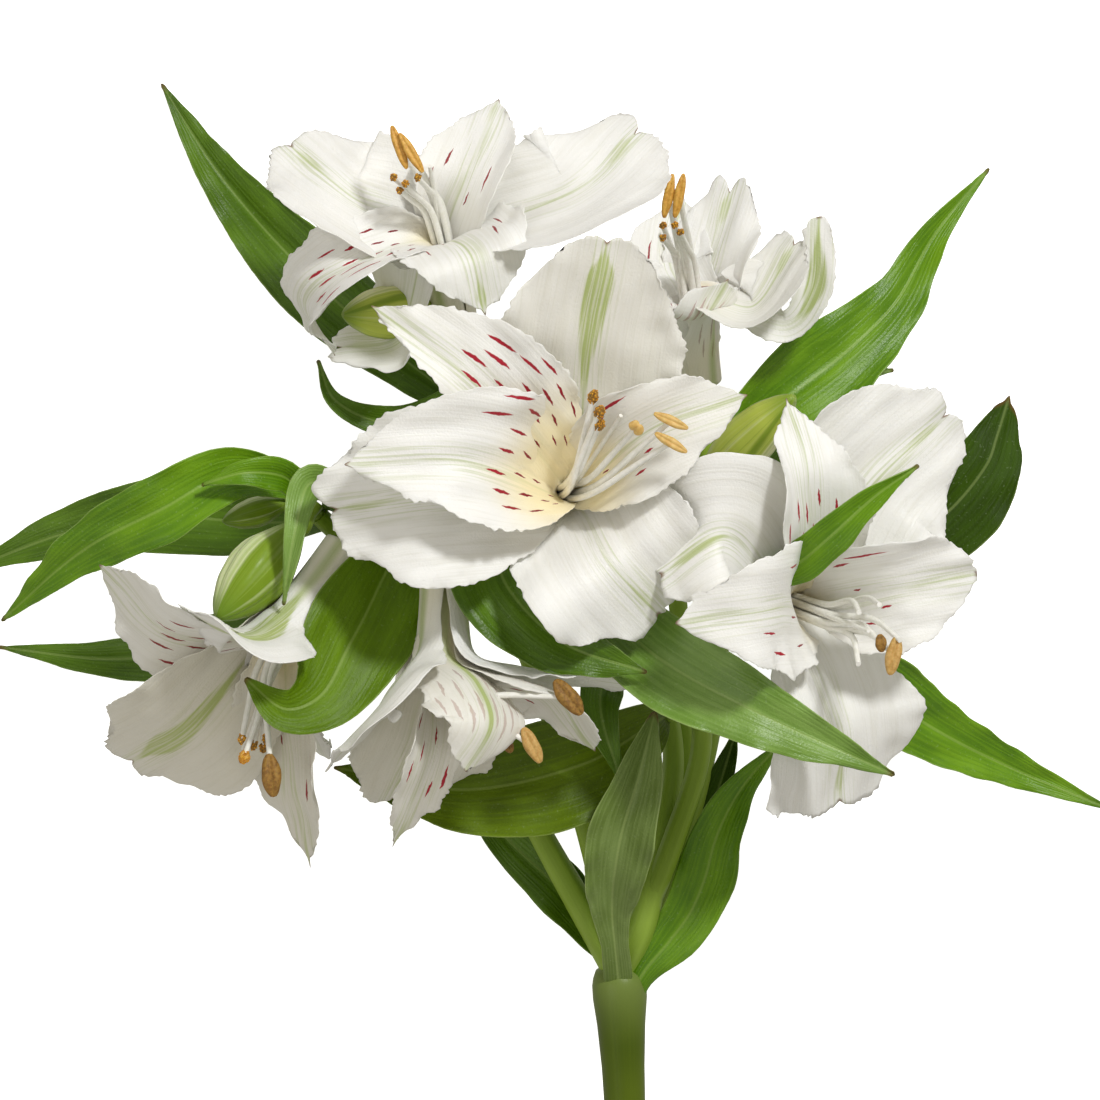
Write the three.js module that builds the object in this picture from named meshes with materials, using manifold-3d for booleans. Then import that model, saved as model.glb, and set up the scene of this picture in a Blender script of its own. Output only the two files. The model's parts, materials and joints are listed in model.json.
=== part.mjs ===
// An alstroemeria stem: one cut stem with its umbel of open blooms, buds and leaves.
// It lies down on its cut end and on the tips of its back leaves, on the plane z = 0.
// Millimetres, +Z up, +Y from the cut end towards the umbel. The origin is on that
// plane, under the middle of the whole.
import * as THREE from "three";
import { mergeVertices } from "three/addons/utils/BufferGeometryUtils.js";
import Module from "manifold-3d";

const wasm = await Module();
wasm.setup();
const { Manifold, Mesh } = wasm;

// ---------- driving dimensions ----------
const BLADE_THICKNESS = 0.7; // leaves and tepals
const SEAT_GAP = 0.3; // between pieces that touch
const STEM_RADIUS = 3.5;
const COLLAR_RADIUS = 4.7; // where the rays leave the stem
const RAY_RADIUS = 1.75;
const BRANCH_RADIUS = 1.2; // bud stalks and side rays
const OVARY_RADIUS = 3.1;
const OVARY_LENGTH = 7;
const FILAMENT_RADIUS = 0.42;
const STYLE_TIP_RADIUS = 0.35;
const ANTHER_RADIUS = 1.35;
const INNER_RING = 2.4; // from a bloom's axis to the claws of its inner tepals
const OUTER_RING = 3.4;
const RECEPTACLE_TOP = 1.6; // the disc that joins a bloom's claws, above its ovary
const SUNK = 0.3; // how deep a root is sunk into what it grows from
const TABLE = 0;

// ---------- materials ----------
const matte = (color, roughness) => new THREE.MeshStandardMaterial({ color, roughness, metalness: 0 });
const STEM_GREEN = matte(0x6d8f3a, 0.5);
const LEAF_GREEN = matte(0x4f7f1e, 0.5);
const TEPAL_WHITE = matte(0xf1efe8, 0.6);
const ANTHER_TAN = matte(0xc99a4b, 0.7);
const BUD_GREEN = matte(0xa9bd5c, 0.5);

// ---------- small helpers ----------
const vec = (p) => new THREE.Vector3(p[0], p[1], p[2]);
const smoothPath = (points) => new THREE.CatmullRomCurve3(points.map(vec), false, "centripetal");
const mix = (a, b, t) => a + (b - a) * t;

// A value that runs evenly through the numbers in the list as t goes from 0 to 1.
function along(list, t) {
  const place = t * (list.length - 1);
  const i = Math.min(Math.floor(place), list.length - 2);
  return mix(list[i], list[i + 1], place - i);
}

function solidFrom(positions, triangles) {
  const mesh = new Mesh({
    numProp: 3,
    vertProperties: Float32Array.from(positions),
    triVerts: Uint32Array.from(triangles),
  });
  return new Manifold(mesh);
}

function solidFromGeometry(geometry) {
  geometry.deleteAttribute("normal");
  geometry.deleteAttribute("uv");
  const merged = mergeVertices(geometry, 1e-4);
  return solidFrom(merged.attributes.position.array, merged.index.array);
}

// The largest body of a union, with no loose scrap and no sealed pocket.
function oneBody(solid) {
  const bodies = solid.decompose();
  return bodies.reduce((best, body) => (body.volume() > best.volume() ? body : best));
}

function turned(geometry, axis, at) {
  geometry.applyQuaternion(new THREE.Quaternion().setFromUnitVectors(new THREE.Vector3(0, 1, 0), axis));
  geometry.translate(at.x, at.y, at.z);
  return geometry;
}

// ---------- blades: every leaf and every tepal ----------
// half and base are half the width at the widest place and at the claw; claw and widest
// say where along the length they end and lie. spread, point and taper shape the outline,
// lobe and mucro its end. cup, fold, twist and wave (height, count, phase) bend the blade.
const LEAF = {
  half: 7, base: 1.6, claw: 0, widest: 0.42, spread: 1.1,
  point: 0.96, taper: 1.4, lobe: [0, 0], mucro: 0,
  cup: [0.9, 0.25, 0.2], fold: 0.12, twist: [0, 0], wave: [0.5, 1.5, 0], rows: 6, cols: 4,
};
const OUTER = {
  half: 15, base: 2.2, claw: 0.28, widest: 0.72, spread: 1.3,
  point: 0.2, taper: 1.7, lobe: [3, 3], mucro: 1.2,
  cup: [0.95, 0.75, 0.15], fold: 0, twist: [0, 0], wave: [0.9, 1.6, 0.4], rows: 6, cols: 4,
};
const INNER = {
  half: 9.5, base: 1.6, claw: 0.28, widest: 0.68, spread: 1.2,
  point: 0.62, taper: 1.7, lobe: [0, 0], mucro: 1.2,
  cup: [0.95, 0.8, 0.25], fold: 0.05, twist: [0, 0], wave: [0.6, 1.6, 0.9], rows: 5, cols: 4,
};

// Where a blade's outline lies: v runs from -1 to 1 across it and t from 0 to 1 along it.
// It is narrow along its claw and widens from there to the widest place. Above, it is a
// blend of a round end and a pointed one, with two lobes beside a notched midrib and a
// small point on it.
function outline(form, length, t, v) {
  const { half, base, widest, point } = form;
  if (t <= widest) {
    const reach = Math.max(0, t - form.claw) / (widest - form.claw);
    const rise = Math.sin((Math.PI / 2) * reach) ** form.spread;
    return { across: v * mix(base, half, rise), up: t * length };
  }
  const r = (t - widest) / (1 - widest);
  const tip = (1 - widest) * length;
  const wide = mix(Math.sqrt(1 - (r * r) / 2), 1 - r ** form.taper, point);
  const high = r * mix(Math.sqrt(1 - (v * v) / 2), 1, point);
  const a = Math.abs(v);
  const lobes = form.lobe[v > 0 ? 1 : 0] * r ** 3 * 4 * a * (1 - a);
  const spike = form.mucro * r ** 4 * Math.exp(-((a / 0.2) ** 2));
  return {
    across: v * Math.max(half * wide, 0.35),
    up: widest * length + tip * high + lobes + spike,
  };
}

// How far a point of the section lies to the side of the midrib and above it: the section
// is folded at the midrib and then bends on as an arc.
function section(form, t, v, across) {
  const fold = form.fold * Math.min(1, t * 4);
  const bend = along(form.cup, t) + 1e-6;
  const a = Math.abs(v);
  const reach = Math.abs(across) / Math.max(a, 1e-6);
  const side = (reach / bend) * (Math.sin(fold + bend * a) - Math.sin(fold));
  const rise = (reach / bend) * (Math.cos(fold) - Math.cos(fold + bend * a));
  const [height, count, phase] = form.wave;
  const ripple = height * a ** 2.5 * Math.sin(t * 0.9) *
    Math.sin(2 * Math.PI * count * t + phase + (v > 0 ? 2.1 : 0));
  return { side: Math.sign(v) * (a < 1e-6 ? 0 : side), rise: rise + ripple };
}

// A blade's middle surface as rows of points from its base to its tip. The function
// sideways gives the direction across the blade from t and the direction of the spine.
function bladeGrid(points, form, sideways) {
  const spine = smoothPath(points);
  const length = spine.getLength();
  const grid = [];
  for (let i = 0; i <= form.rows; i++) {
    const row = [];
    for (let j = 0; j <= form.cols; j++) {
      const t = i / form.rows;
      const v = -1 + (2 * j) / form.cols;
      const { across, up } = outline(form, length, t, v);
      const u = Math.min(up / length, 1);
      const tangent = spine.getTangentAt(u);
      const centre = spine.getPointAt(u).addScaledVector(tangent, Math.max(0, up - length));
      const side = sideways(u, tangent);
      side.addScaledVector(tangent, -side.dot(tangent)).normalize();
      side.applyAxisAngle(tangent, along(form.twist, u));
      const face = new THREE.Vector3().crossVectors(side, tangent);
      const place = section(form, t, v, across);
      row.push(centre.addScaledVector(side, place.side).addScaledVector(face, place.rise));
    }
    grid.push(row);
  }
  return grid;
}

// The solid of a blade: its grid thickened by half on each side, with the same
// triangles on both faces, and closed round its edge.
function thicken(grid, thickness) {
  const rows = grid.length - 1;
  const cols = grid[0].length - 1;
  const count = (rows + 1) * (cols + 1);
  const index = (i, j) => i * (cols + 1) + j;
  const upper = [];
  const lower = [];
  for (let i = 0; i <= rows; i++) {
    for (let j = 0; j <= cols; j++) {
      const forward = grid[Math.min(i + 1, rows)][j].clone().sub(grid[Math.max(i - 1, 0)][j]);
      const across = grid[i][Math.min(j + 1, cols)].clone().sub(grid[i][Math.max(j - 1, 0)]);
      const normal = across.cross(forward).normalize().multiplyScalar(thickness / 2);
      upper.push(...grid[i][j].clone().add(normal).toArray());
      lower.push(...grid[i][j].clone().sub(normal).toArray());
    }
  }
  const triangles = [];
  const border = [];
  for (let i = 0; i < rows; i++) {
    for (let j = 0; j < cols; j++) {
      const [a, b, c, d] = [index(i, j), index(i, j + 1), index(i + 1, j + 1), index(i + 1, j)];
      triangles.push(a, b, c, a, c, d);
      triangles.push(count + c, count + b, count + a, count + d, count + c, count + a);
    }
  }
  for (let j = 0; j < cols; j++) border.push([index(0, j), index(0, j + 1)]);
  for (let i = 0; i < rows; i++) border.push([index(i, cols), index(i + 1, cols)]);
  for (let j = cols; j > 0; j--) border.push([index(rows, j), index(rows, j - 1)]);
  for (let i = rows; i > 0; i--) border.push([index(i, 0), index(i - 1, 0)]);
  for (const [p, q] of border) triangles.push(q, p, count + p, q, count + p, count + q);
  return solidFrom([...upper, ...lower], triangles);
}

// ---------- stalks: the stem, the rays, the bud stalks and the filaments ----------
// A round stalk along a smooth path, its radius running through the list of radii.
function stalk(points, radii, sides, steps) {
  const path = smoothPath(points);
  const frames = path.computeFrenetFrames(steps);
  const positions = [];
  for (let i = 0; i <= steps; i++) {
    const centre = path.getPointAt(i / steps);
    const radius = along(radii, i / steps);
    for (let k = 0; k < sides; k++) {
      const angle = (2 * Math.PI * k) / sides;
      const p = centre.clone()
        .addScaledVector(frames.normals[i], radius * Math.cos(angle))
        .addScaledVector(frames.binormals[i], radius * Math.sin(angle));
      positions.push(...p.toArray());
    }
  }
  const triangles = [];
  for (let i = 0; i < steps; i++) {
    for (let k = 0; k < sides; k++) {
      const a = i * sides + k;
      const b = i * sides + ((k + 1) % sides);
      triangles.push(a, b, b + sides, a, b + sides, a + sides);
    }
  }
  const last = steps * sides;
  for (let k = 1; k < sides - 1; k++) {
    triangles.push(0, k + 1, k, last, last + k, last + k + 1);
  }
  return solidFrom(positions, triangles);
}

// A round body turned about an axis, with furrows between its ribs.
function ribbed(profile, ribs, furrow, axis, at) {
  const outlinePoints = profile.map(([radius, height]) => new THREE.Vector2(radius, height));
  const geometry = new THREE.LatheGeometry(outlinePoints, 2 * ribs);
  const place = geometry.attributes.position;
  for (let i = 0; i < place.count; i++) {
    const angle = Math.atan2(place.getX(i), place.getZ(i));
    const depth = 1 - furrow * (0.5 - 0.5 * Math.cos(ribs * angle));
    place.setX(i, place.getX(i) * depth);
    place.setZ(i, place.getZ(i) * depth);
  }
  return solidFromGeometry(turned(geometry, axis, at));
}

// ---------- the umbel's layout ----------
const NODE = [13, -3, 22]; // where the rays leave the stem
const STEM_PATH = [NODE, [14, -25, 18], [15.5, -70, 10], [15, -115, 5], [13, -153, 3.4]];

// Each bloom: the top of its ovary, the direction it faces, the length of its narrow
// throat, and its six tepals in their order round the axis, each by the points that its
// midrib passes beyond the throat.
const BLOOMS = {
  a: {
    base: [1, 82, 45], facing: [0.15, -0.1, 0.98], throat: 20,
    tepals: [
      [OUTER, [[7, 104, 80], [10, 119, 78]], { half: 15.5 }],
      [INNER, [[-13, 97, 84], [-27, 109, 84]], { half: 10 }],
      [OUTER, [[-18, 79, 79], [-33, 77, 76]], { half: 15.5, lobe: [3, 5] }],
      [INNER, [[-14, 84, 84], [-31, 84, 86]], { half: 10 }],
      [OUTER, [[9, 67, 75], [14, 57, 71]], { half: 15.5 }],
      [INNER, [[18, 90, 80], [32, 95, 80]], { half: 9.5 }],
    ],
    stamens: [
      { to: [8, 95, 84], anther: 2 }, { to: [9, 93, 85], anther: 2 }, { to: [9, 91, 83], anther: 2 },
      { to: [15, 90, 86], anther: 3 }, { to: [21, 91, 87], anther: 6, lie: [1, 0.35, 0] },
      { to: [21, 88, 87], anther: 6, lie: [1, -0.4, 0] },
    ],
    style: [11, 94, 83],
  },
  b: {
    base: [-15, 109, 30], facing: [-0.12, 0.72, 0.68], throat: 19,
    tepals: [
      [OUTER, [[-28, 106, 45], [-35, 98, 37]], { half: 12, claw: 0.36 }],
      [INNER, [[-12, 117, 60], [-9, 112, 52]], { half: 9 }],
      [OUTER, [[5, 130, 52], [15, 140, 44]], { half: 14.5, lobe: [5, 3] }],
      [INNER, [[-13, 133, 49], [-8, 146, 40]], { half: 8.5 }],
      [OUTER, [[-33, 130, 50], [-42, 138, 44]], { half: 13 }],
      [INNER, [[-32, 118, 57], [-40, 112, 49], [-36, 104, 40]], { half: 8.5 }],
    ],
    stamens: [
      { to: [-24, 137, 62], anther: 6, lie: [-0.4, 1, 0] },
      { to: [-22, 136, 63], anther: 6, lie: [-0.4, 1, 0] },
      { to: [-25, 132, 62], anther: 2 }, { to: [-23, 131, 61], anther: 2 },
      { to: [-21, 132, 62], anther: 2 }, { to: [-24, 130, 60], anther: 2 },
    ],
    style: [-19, 134, 60],
  },
  c: {
    base: [27, 99, 18], facing: [-0.1, 0.9, 0.4], throat: 16,
    tepals: [
      [INNER, [[28, 118, 43], [31, 111, 48]], { half: 8.5 }],
      [OUTER, [[36, 113, 30], [43, 123, 28]], { half: 10, claw: 0.4, twist: [0, 0.7] }],
      [INNER, [[43, 111, 27], [48, 119, 29], [49, 128, 30]], { half: 8.5, claw: 0.36, twist: [0, 0.9] }],
      [OUTER, [[31, 122, 20], [34, 134, 17]], { half: 11 }],
      [INNER, [[22, 120, 20], [24, 131, 17]], { half: 8 }],
      [OUTER, [[16, 114, 28], [10, 117, 26]], { half: 9 }],
    ],
    stamens: [
      { to: [21, 130, 46], anther: 6, lie: [0, 1, 0.1] },
      { to: [23, 130, 46], anther: 6, lie: [0.1, 1, 0.1] },
      { to: [20, 125, 47], anther: 2 }, { to: [22, 125, 47], anther: 2 },
      { to: [20, 123, 46], anther: 2 }, { to: [23, 124, 45], anther: 2 },
    ],
    style: [22, 127, 44],
  },
  d: {
    base: [30, 65, 38], facing: [0.62, -0.2, 0.75], throat: 19,
    tepals: [
      [OUTER, [[54.5, 81, 58], [66.4, 92, 54]],
        { half: 16.5, claw: 0.42, lobe: [3, 4], cup: [0.95, 0.3, 0.1], twist: [0, -0.5, -0.1] }],
      [INNER, [[42, 82, 75], [40, 94, 71]], { half: 9 }],
      [OUTER, [[28.5, 72, 82], [21, 67.5, 81]], { half: 15 }],
      [INNER, [[32, 60, 79], [23, 58, 78]], { half: 9.5 }],
      [OUTER, [[48, 40, 56], [46, 26, 48]], { half: 16.5, cup: [0.96, 0.4, 0] }],
      [INNER, [[58, 64, 67], [72, 66, 60]], { half: 9.75 }],
    ],
    stamens: [
      { to: [55, 55, 76], anther: 3 }, { to: [57, 53, 77], anther: 5, lie: [-0.2, -1, 0] },
      { to: [53, 62, 76], anther: 2 }, { to: [51, 58, 75], anther: 2 },
      { to: [58, 62, 77], anther: 2 }, { to: [57, 57, 78], anther: 2 },
    ],
    style: [54, 62, 79],
  },
  e: {
    base: [-33, 71, 56], facing: [-0.5, -0.75, 0.25], throat: 18,
    tepals: [
      [OUTER, [[-49, 56, 73], [-57.5, 60, 73.5]], { half: 10, claw: 0.4 }],
      [INNER, [[-61, 56, 65], [-73, 67, 61]], { half: 8 }],
      [OUTER, [[-59, 41, 56], [-69, 35, 45]], { half: 14 }],
      [INNER, [[-42, 34, 54], [-40, 18, 41]], { half: 8 }],
      [OUTER, [[-43, 46, 48], [-40, 37, 36]], { half: 9 }],
      [INNER, [[-39, 50, 47], [-37, 48, 40]], { half: 4, claw: 0.4, cup: [0.95, 0.3, 0.1] }],
    ],
    stamens: [
      { to: [-45, 33, 66], anther: 6, lie: [0, -1, 0] }, { to: [-49, 39, 64], anther: 2 },
      { to: [-48, 38, 64], anther: 2 }, { to: [-46, 39, 64], anther: 2 },
      { to: [-49, 36, 65], anther: 2 }, { to: [-47, 36, 63], anther: 2 },
    ],
    style: [-50, 37, 61],
  },
  f: {
    base: [-17, 69, 58], facing: [0.03, -0.97, 0.22], throat: 17,
    tepals: [
      [INNER, [[-9, 46, 76], [-13, 37, 72]], { half: 9 }],
      [OUTER, [[-26, 46, 72], [-34, 36, 67]], { half: 9 }],
      [INNER, [[-19, 37, 67], [-25, 21, 60]], { half: 7 }],
      [OUTER, [[-20, 41, 53], [-25, 29, 44]], { half: 13 }],
      [INNER, [[1, 46, 60], [8, 37, 51]], { half: 8.5 }],
      [OUTER, [[-1, 54, 57], [13, 49, 52]], { half: 8 }],
    ],
    stamens: [
      { to: [-2, 38, 72], anther: 6, lie: [0.5, -1, 0] },
      { to: [-6, 38, 69], anther: 4, lie: [0.4, -1, 0] },
      { to: [4, 46, 70], anther: 5, lie: [0.7, -1, 0] }, { to: [-8, 40, 67], anther: 2 },
      { to: [-4, 42, 68.5], anther: 2 }, { to: [-9, 42, 66], anther: 2 },
    ],
    style: [-6, 43, 65],
  },
};

// Each ray from the stem's node, or from a ray, to the bloom or bud it carries.
const LEFT_FORK = [-38, 76, 46];
const RAYS = [
  { to: "a", via: [[19, 23, 28], [17, 45, 26], [6, 70, 22], [0.5, 80, 29]] },
  { to: "b", via: [[19, 20, 22], [20, 41, 22], [10, 74, 14], [-6, 95, 16]] },
  { to: "c", via: [[24, 20, 17], [30, 45, 15], [30, 72, 12]] },
  { to: "d", via: [[22, 20, 32], [27, 38, 34], [24, 54, 27], [23, 64, 27]] },
  { to: "f", via: [[8, 20, 32], [0, 45, 36], [-9, 68, 42], [-14, 80, 50]] },
];
const LEFT_RAY = [[-1, 22, 28], [-14, 48, 32], [-28, 66, 40], LEFT_FORK];
const SIDE_RAY_E = [[-25, 63, 38], [-20, 70, 43], [-21, 78, 49]];

// Closed buds: where each starts, which way it points, how long and how thick it is, and
// where its stalk leaves a ray.
const BUDS = {
  g: { base: [-42, 73, 56], tip: [-54, 59, 65], radius: 5.6, stalk: [LEFT_FORK, [-40, 78, 52]] },
  h: { base: [-44, 78, 46], tip: [-54, 75, 50], radius: 2.6, stalk: [LEFT_FORK, [-41, 78, 45]] },
  i: { base: [28, 82, 33], tip: [42, 96, 50], radius: 4.6, stalk: [[30, 68, 13], [27, 76, 22]] },
  j: { base: [-21, 106, 22], tip: [-32, 115, 33], radius: 3.8, stalk: [[-6, 95, 16], [-14, 99, 17]] },
};

// Leaves and bracts, each by the points its midrib passes, its form, and the direction
// its upper side faces at its base and at its tip.
const UP = [0, 0, 1];
const LEAVES = {
  leaf_01: [[[-9, 92, 13.5], [-25, 104, 13], [-43, 120, 8], [-57, 136, 2], [-68, 153, 0.3]],
    { half: 8.5, fold: 0.35 }],
  leaf_02: [[[28, 86, 12], [38, 94, 15], [52, 105, 12], [66, 121, 5], [79, 138, 0.3]],
    { half: 8, taper: 1.1, rows: 7 }],
  leaf_03: [[[31, 68, 13], [53, 68, 20], [68, 75, 20], [77, 85, 18], [79, 90, 16], [81, 96, 14]],
    { half: 8.5, widest: 0.6 }],
  leaf_04: [[[29, 76, 40], [35, 74, 52], [40, 73, 57.8], [47.5, 75, 60.2], [54, 79.5, 68], [61, 84, 77]],
    { half: 3.7, widest: 0.62, claw: 0.2, rows: 8 }],
  leaf_05: [[[31, 62, 14], [42, 54, 19], [55, 48, 17], [68, 39, 8], [84, 31, 1], [101, 24, 0.3]],
    { half: 7.2, taper: 1.2 }],
  leaf_06: [[[4, 74, 30], [6, 66, 50], [18, 53, 62.5], [36, 43, 69], [58, 33, 66]],
    { half: 7.8, widest: 0.55 }],
  leaf_07: [[[-13, 78, 50], [-9, 73, 60], [-6, 64, 66], [3, 55, 66.5], [17, 50, 67.5]], { half: 6.8 }],
  leaf_08: [[[16.5, 47, 27], [12, 53, 38], [9.5, 44, 47], [13, 31, 46.5]], { half: 5, rows: 5 },
    [[0.3, -0.9, 0.5], UP]],
  leaf_09: [[[20, 41, 21], [20.5, 41.5, 30], [17, 39.5, 37], [7, 34, 41.5], [-13, 29.5, 40.5], [-36, 33, 34.5]],
    { half: 10, claw: 0.12, widest: 0.5, rows: 8 }, [[0.9, 0.2, 0.5], UP]],
  leaf_10: [[[-39.5, 80, 44], [-52, 83, 53.5], [-64, 77, 55], [-78, 70, 47], [-93, 58, 34]], { half: 6 }],
  leaf_11: [[[-36, 75, 45], [-51, 75, 28], [-68, 76, 24], [-84, 73, 17], [-103, 66, 10]], { half: 7 }],
  leaf_12: [[[-30, 68, 41], [-37, 60, 24], [-58, 53, 12], [-78, 51, 3], [-97, 53, 0.3]], { half: 6.5 }],
  leaf_13: [[[-22, 76, 48], [-27, 65, 56], [-31, 55, 60], [-36, 46, 62.5], [-42, 44, 65], [-49, 49, 67.5]],
    { half: 9, widest: 0.45 }, [[0.5, 0.1, 0.85], UP]],
  leaf_14: [[[-36, 77, 46], [-35, 80, 56], [-39, 81, 65], [-41, 73, 69], [-43, 61, 67]],
    { half: 3, rows: 5 }],
  leaf_15: [[[-10, 99.5, 19], [-26, 92, 29], [-36, 96, 31], [-39, 103, 29]], { half: 3.2, rows: 5 }],
  leaf_16: [[NODE, [11.5, 5, 36], [9.5, 18, 45], [12, 30, 49], [20, 43, 47]], { half: 6.5, widest: 0.62 }],
  leaf_17: [[NODE, [18, 4, 26], [25, 12, 28], [31, 24, 28], [36.5, 34, 25]], { half: 5.5, widest: 0.5 }],
  leaf_18: [[NODE, [10, 2, 22], [3, 11, 22], [-8, 22, 22], [-15, 34, 22]], { half: 5 }],
  leaf_19: [[[-40.2, 79, 51.5], [-43.5, 82.5, 56.5], [-50, 83, 60], [-57, 81, 58.5]], { half: 3, rows: 5 }],
  leaf_20: [[[28, 75, 20], [34, 77, 36], [36, 84, 44]], { half: 3.4, rows: 5 }],
  leaf_21: [[[29, 80, 10], [43, 92, 7], [56, 101, 8], [62, 102, 5]], { half: 5, rows: 5 }],
  leaf_22: [[NODE, [19, 4, 18], [28, 22, 16], [34, 40, 15]], { half: 5, rows: 5 }],
};

// ---------- building ----------
// The part of a bloom's direction-from-axis that points at a given place.
function outwards(place, base, axis) {
  const reach = vec(place).sub(base);
  return reach.addScaledVector(axis, -reach.dot(axis)).normalize();
}

// Directions that stand evenly round a bloom's axis, one for each tip, and turned so that
// they lie as near as they can to the tips. The tips are given in their order round it.
function evenDirections(tips, base, axis) {
  const up = new THREE.Vector3(0, 0, 1);
  const first = up.addScaledVector(axis, -up.dot(axis)).normalize();
  const second = new THREE.Vector3().crossVectors(axis, first);
  const at = (angle) =>
    first.clone().multiplyScalar(Math.cos(angle)).addScaledVector(second, Math.sin(angle));
  const step = (2 * Math.PI) / tips.length;
  const sum = new THREE.Vector3();
  tips.forEach((tip, k) => {
    const way = outwards(tip, base, axis);
    sum.add(at(Math.atan2(way.dot(second), way.dot(first)) - k * step));
  });
  const start = Math.atan2(sum.dot(second), sum.dot(first));
  return tips.map((_, k) => at(start + k * step));
}

// The same entries in their order round a bloom's axis, by the place each one ends at.
function inOrderRound(entries, base, axis) {
  const first = new THREE.Vector3().crossVectors(axis, new THREE.Vector3(1, 0, 0)).normalize();
  const second = new THREE.Vector3().crossVectors(axis, first);
  const angle = ({ to }) => {
    const way = outwards(to, base, axis);
    return Math.atan2(way.dot(second), way.dot(first));
  };
  return [...entries].sort((a, b) => angle(a) - angle(b));
}

function tepal(bloom, base, axis, [kind, beyond, changes], claw) {
  const form = { ...kind, ...changes };
  const tip = outwards(beyond[beyond.length - 1], base, axis);
  const ring = kind === OUTER ? OUTER_RING : INNER_RING;
  const flare = kind === OUTER ? 2.2 : 1.2;
  const on = (height, radius, turn) => {
    const way = claw.clone().lerp(tip, turn).normalize();
    return base.clone().addScaledVector(axis, height).addScaledVector(way, radius);
  };
  const points = [
    on(SEAT_GAP + 0.2, ring, 0), on(0.5 * bloom.throat, ring + 0.25 * flare, 0.05),
    on(bloom.throat, ring + flare, 0.3), ...beyond.map(vec),
  ];
  const clawSide = new THREE.Vector3().crossVectors(claw, axis);
  const tipSide = new THREE.Vector3().crossVectors(tip, axis);
  const sideways = (t) => clawSide.clone().lerp(tipSide, THREE.MathUtils.smoothstep(t, 0.1, 0.75));
  return thicken(bladeGrid(points.map((p) => p.toArray()), form, sideways), BLADE_THICKNESS);
}

function disc(base, axis, from, to, radius, sides) {
  const geometry = new THREE.CylinderGeometry(radius, radius, to - from, sides);
  return solidFromGeometry(turned(geometry, axis, base.clone().addScaledVector(axis, (from + to) / 2)));
}

function tepals(bloom) {
  const base = vec(bloom.base);
  const axis = vec(bloom.facing).normalize();
  const tips = bloom.tepals.map(([, beyond]) => beyond[beyond.length - 1]);
  const claws = evenDirections(tips, base, axis);
  const pieces = bloom.tepals.map((entry, k) => tepal(bloom, base, axis, entry, claws[k]));
  pieces.push(disc(base, axis, SEAT_GAP, RECEPTACLE_TOP, OUTER_RING + 0.3, 8));
  return oneBody(Manifold.union(pieces));
}

function anther(at, direction, length) {
  const geometry = length > 3 ? new THREE.SphereGeometry(1, 5, 3) : new THREE.OctahedronGeometry(1);
  geometry.scale(ANTHER_RADIUS, length / 2 + 0.4, ANTHER_RADIUS * 0.8);
  return solidFromGeometry(turned(geometry, direction, at));
}

function stamens(bloom) {
  const base = vec(bloom.base);
  const axis = vec(bloom.facing).normalize();
  const start = RECEPTACLE_TOP + SEAT_GAP + 0.1;
  const pieces = [disc(base, axis, start, start + 1, 1.6, 6)];
  const ordered = inOrderRound(bloom.stamens, base, axis);
  const spreads = evenDirections(ordered.map(({ to }) => to), base, axis);
  ordered.forEach(({ to, anther: length, lie }, k) => {
    const on = (height, radius) =>
      base.clone().addScaledVector(axis, height).addScaledVector(spreads[k], radius);
    const end = vec(to);
    const rim = on(0.95 * bloom.throat, 1.4);
    const beyond = on(1.35 * bloom.throat, 1.6).lerp(end, 0.2);
    const path = [on(start + SUNK, 1.05), rim, beyond, end].map((p) => p.toArray());
    pieces.push(stalk(path, [FILAMENT_RADIUS, FILAMENT_RADIUS], 3, 4));
    const direction = lie ? vec(lie).normalize() : smoothPath(path).getTangentAt(1);
    pieces.push(anther(end, direction, length));
  });
  const inThroat = [start + SUNK, bloom.throat].map((height) => base.clone().addScaledVector(axis, height));
  const style = [...inThroat.map((p) => p.toArray()), bloom.style];
  pieces.push(stalk(style, [FILAMENT_RADIUS, STYLE_TIP_RADIUS], 3, 3));
  return oneBody(Manifold.union(pieces));
}

const OVARY_PROFILE = [[0, -OVARY_LENGTH], [1.3, -OVARY_LENGTH], [OVARY_RADIUS, -3], [2.7, 0], [0, 0]];

function ovary(base, axis, scale, ribs) {
  const profile = OVARY_PROFILE.map(([radius, height]) => [radius * scale, height * scale]);
  return ribbed(profile, ribs, 0.14, axis, base);
}

const BUD_PROFILE = [
  [0, 0], [0.42, 0], [0.62, 0.1], [0.95, 0.32], [1, 0.5], [0.82, 0.72], [0.42, 0.92], [0, 1],
];

function bud({ base, tip, radius }) {
  const axis = vec(tip).sub(vec(base));
  const length = axis.length();
  axis.normalize();
  const profile = BUD_PROFILE.map(([r, h]) => [r * radius, SEAT_GAP + h * (length - SEAT_GAP)]);
  return ribbed(profile, 6, 0.1, axis, vec(base));
}

function leafSideways(faces) {
  const [first, last] = faces.map(vec);
  return (t, tangent) => tangent.clone().cross(first.clone().lerp(last, t));
}

function leaf([points, changes, faces = [UP, UP]]) {
  return thicken(bladeGrid(points, { ...LEAF, ...changes }, leafSideways(faces)), BLADE_THICKNESS);
}

// Where a ray leaves the collar: inside it, on the side of the first place it runs to.
function collarPoint(first) {
  const way = vec(first).sub(vec(NODE)).normalize().multiplyScalar(COLLAR_RADIUS - 2.2);
  return way.add(vec(NODE)).toArray();
}

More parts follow.
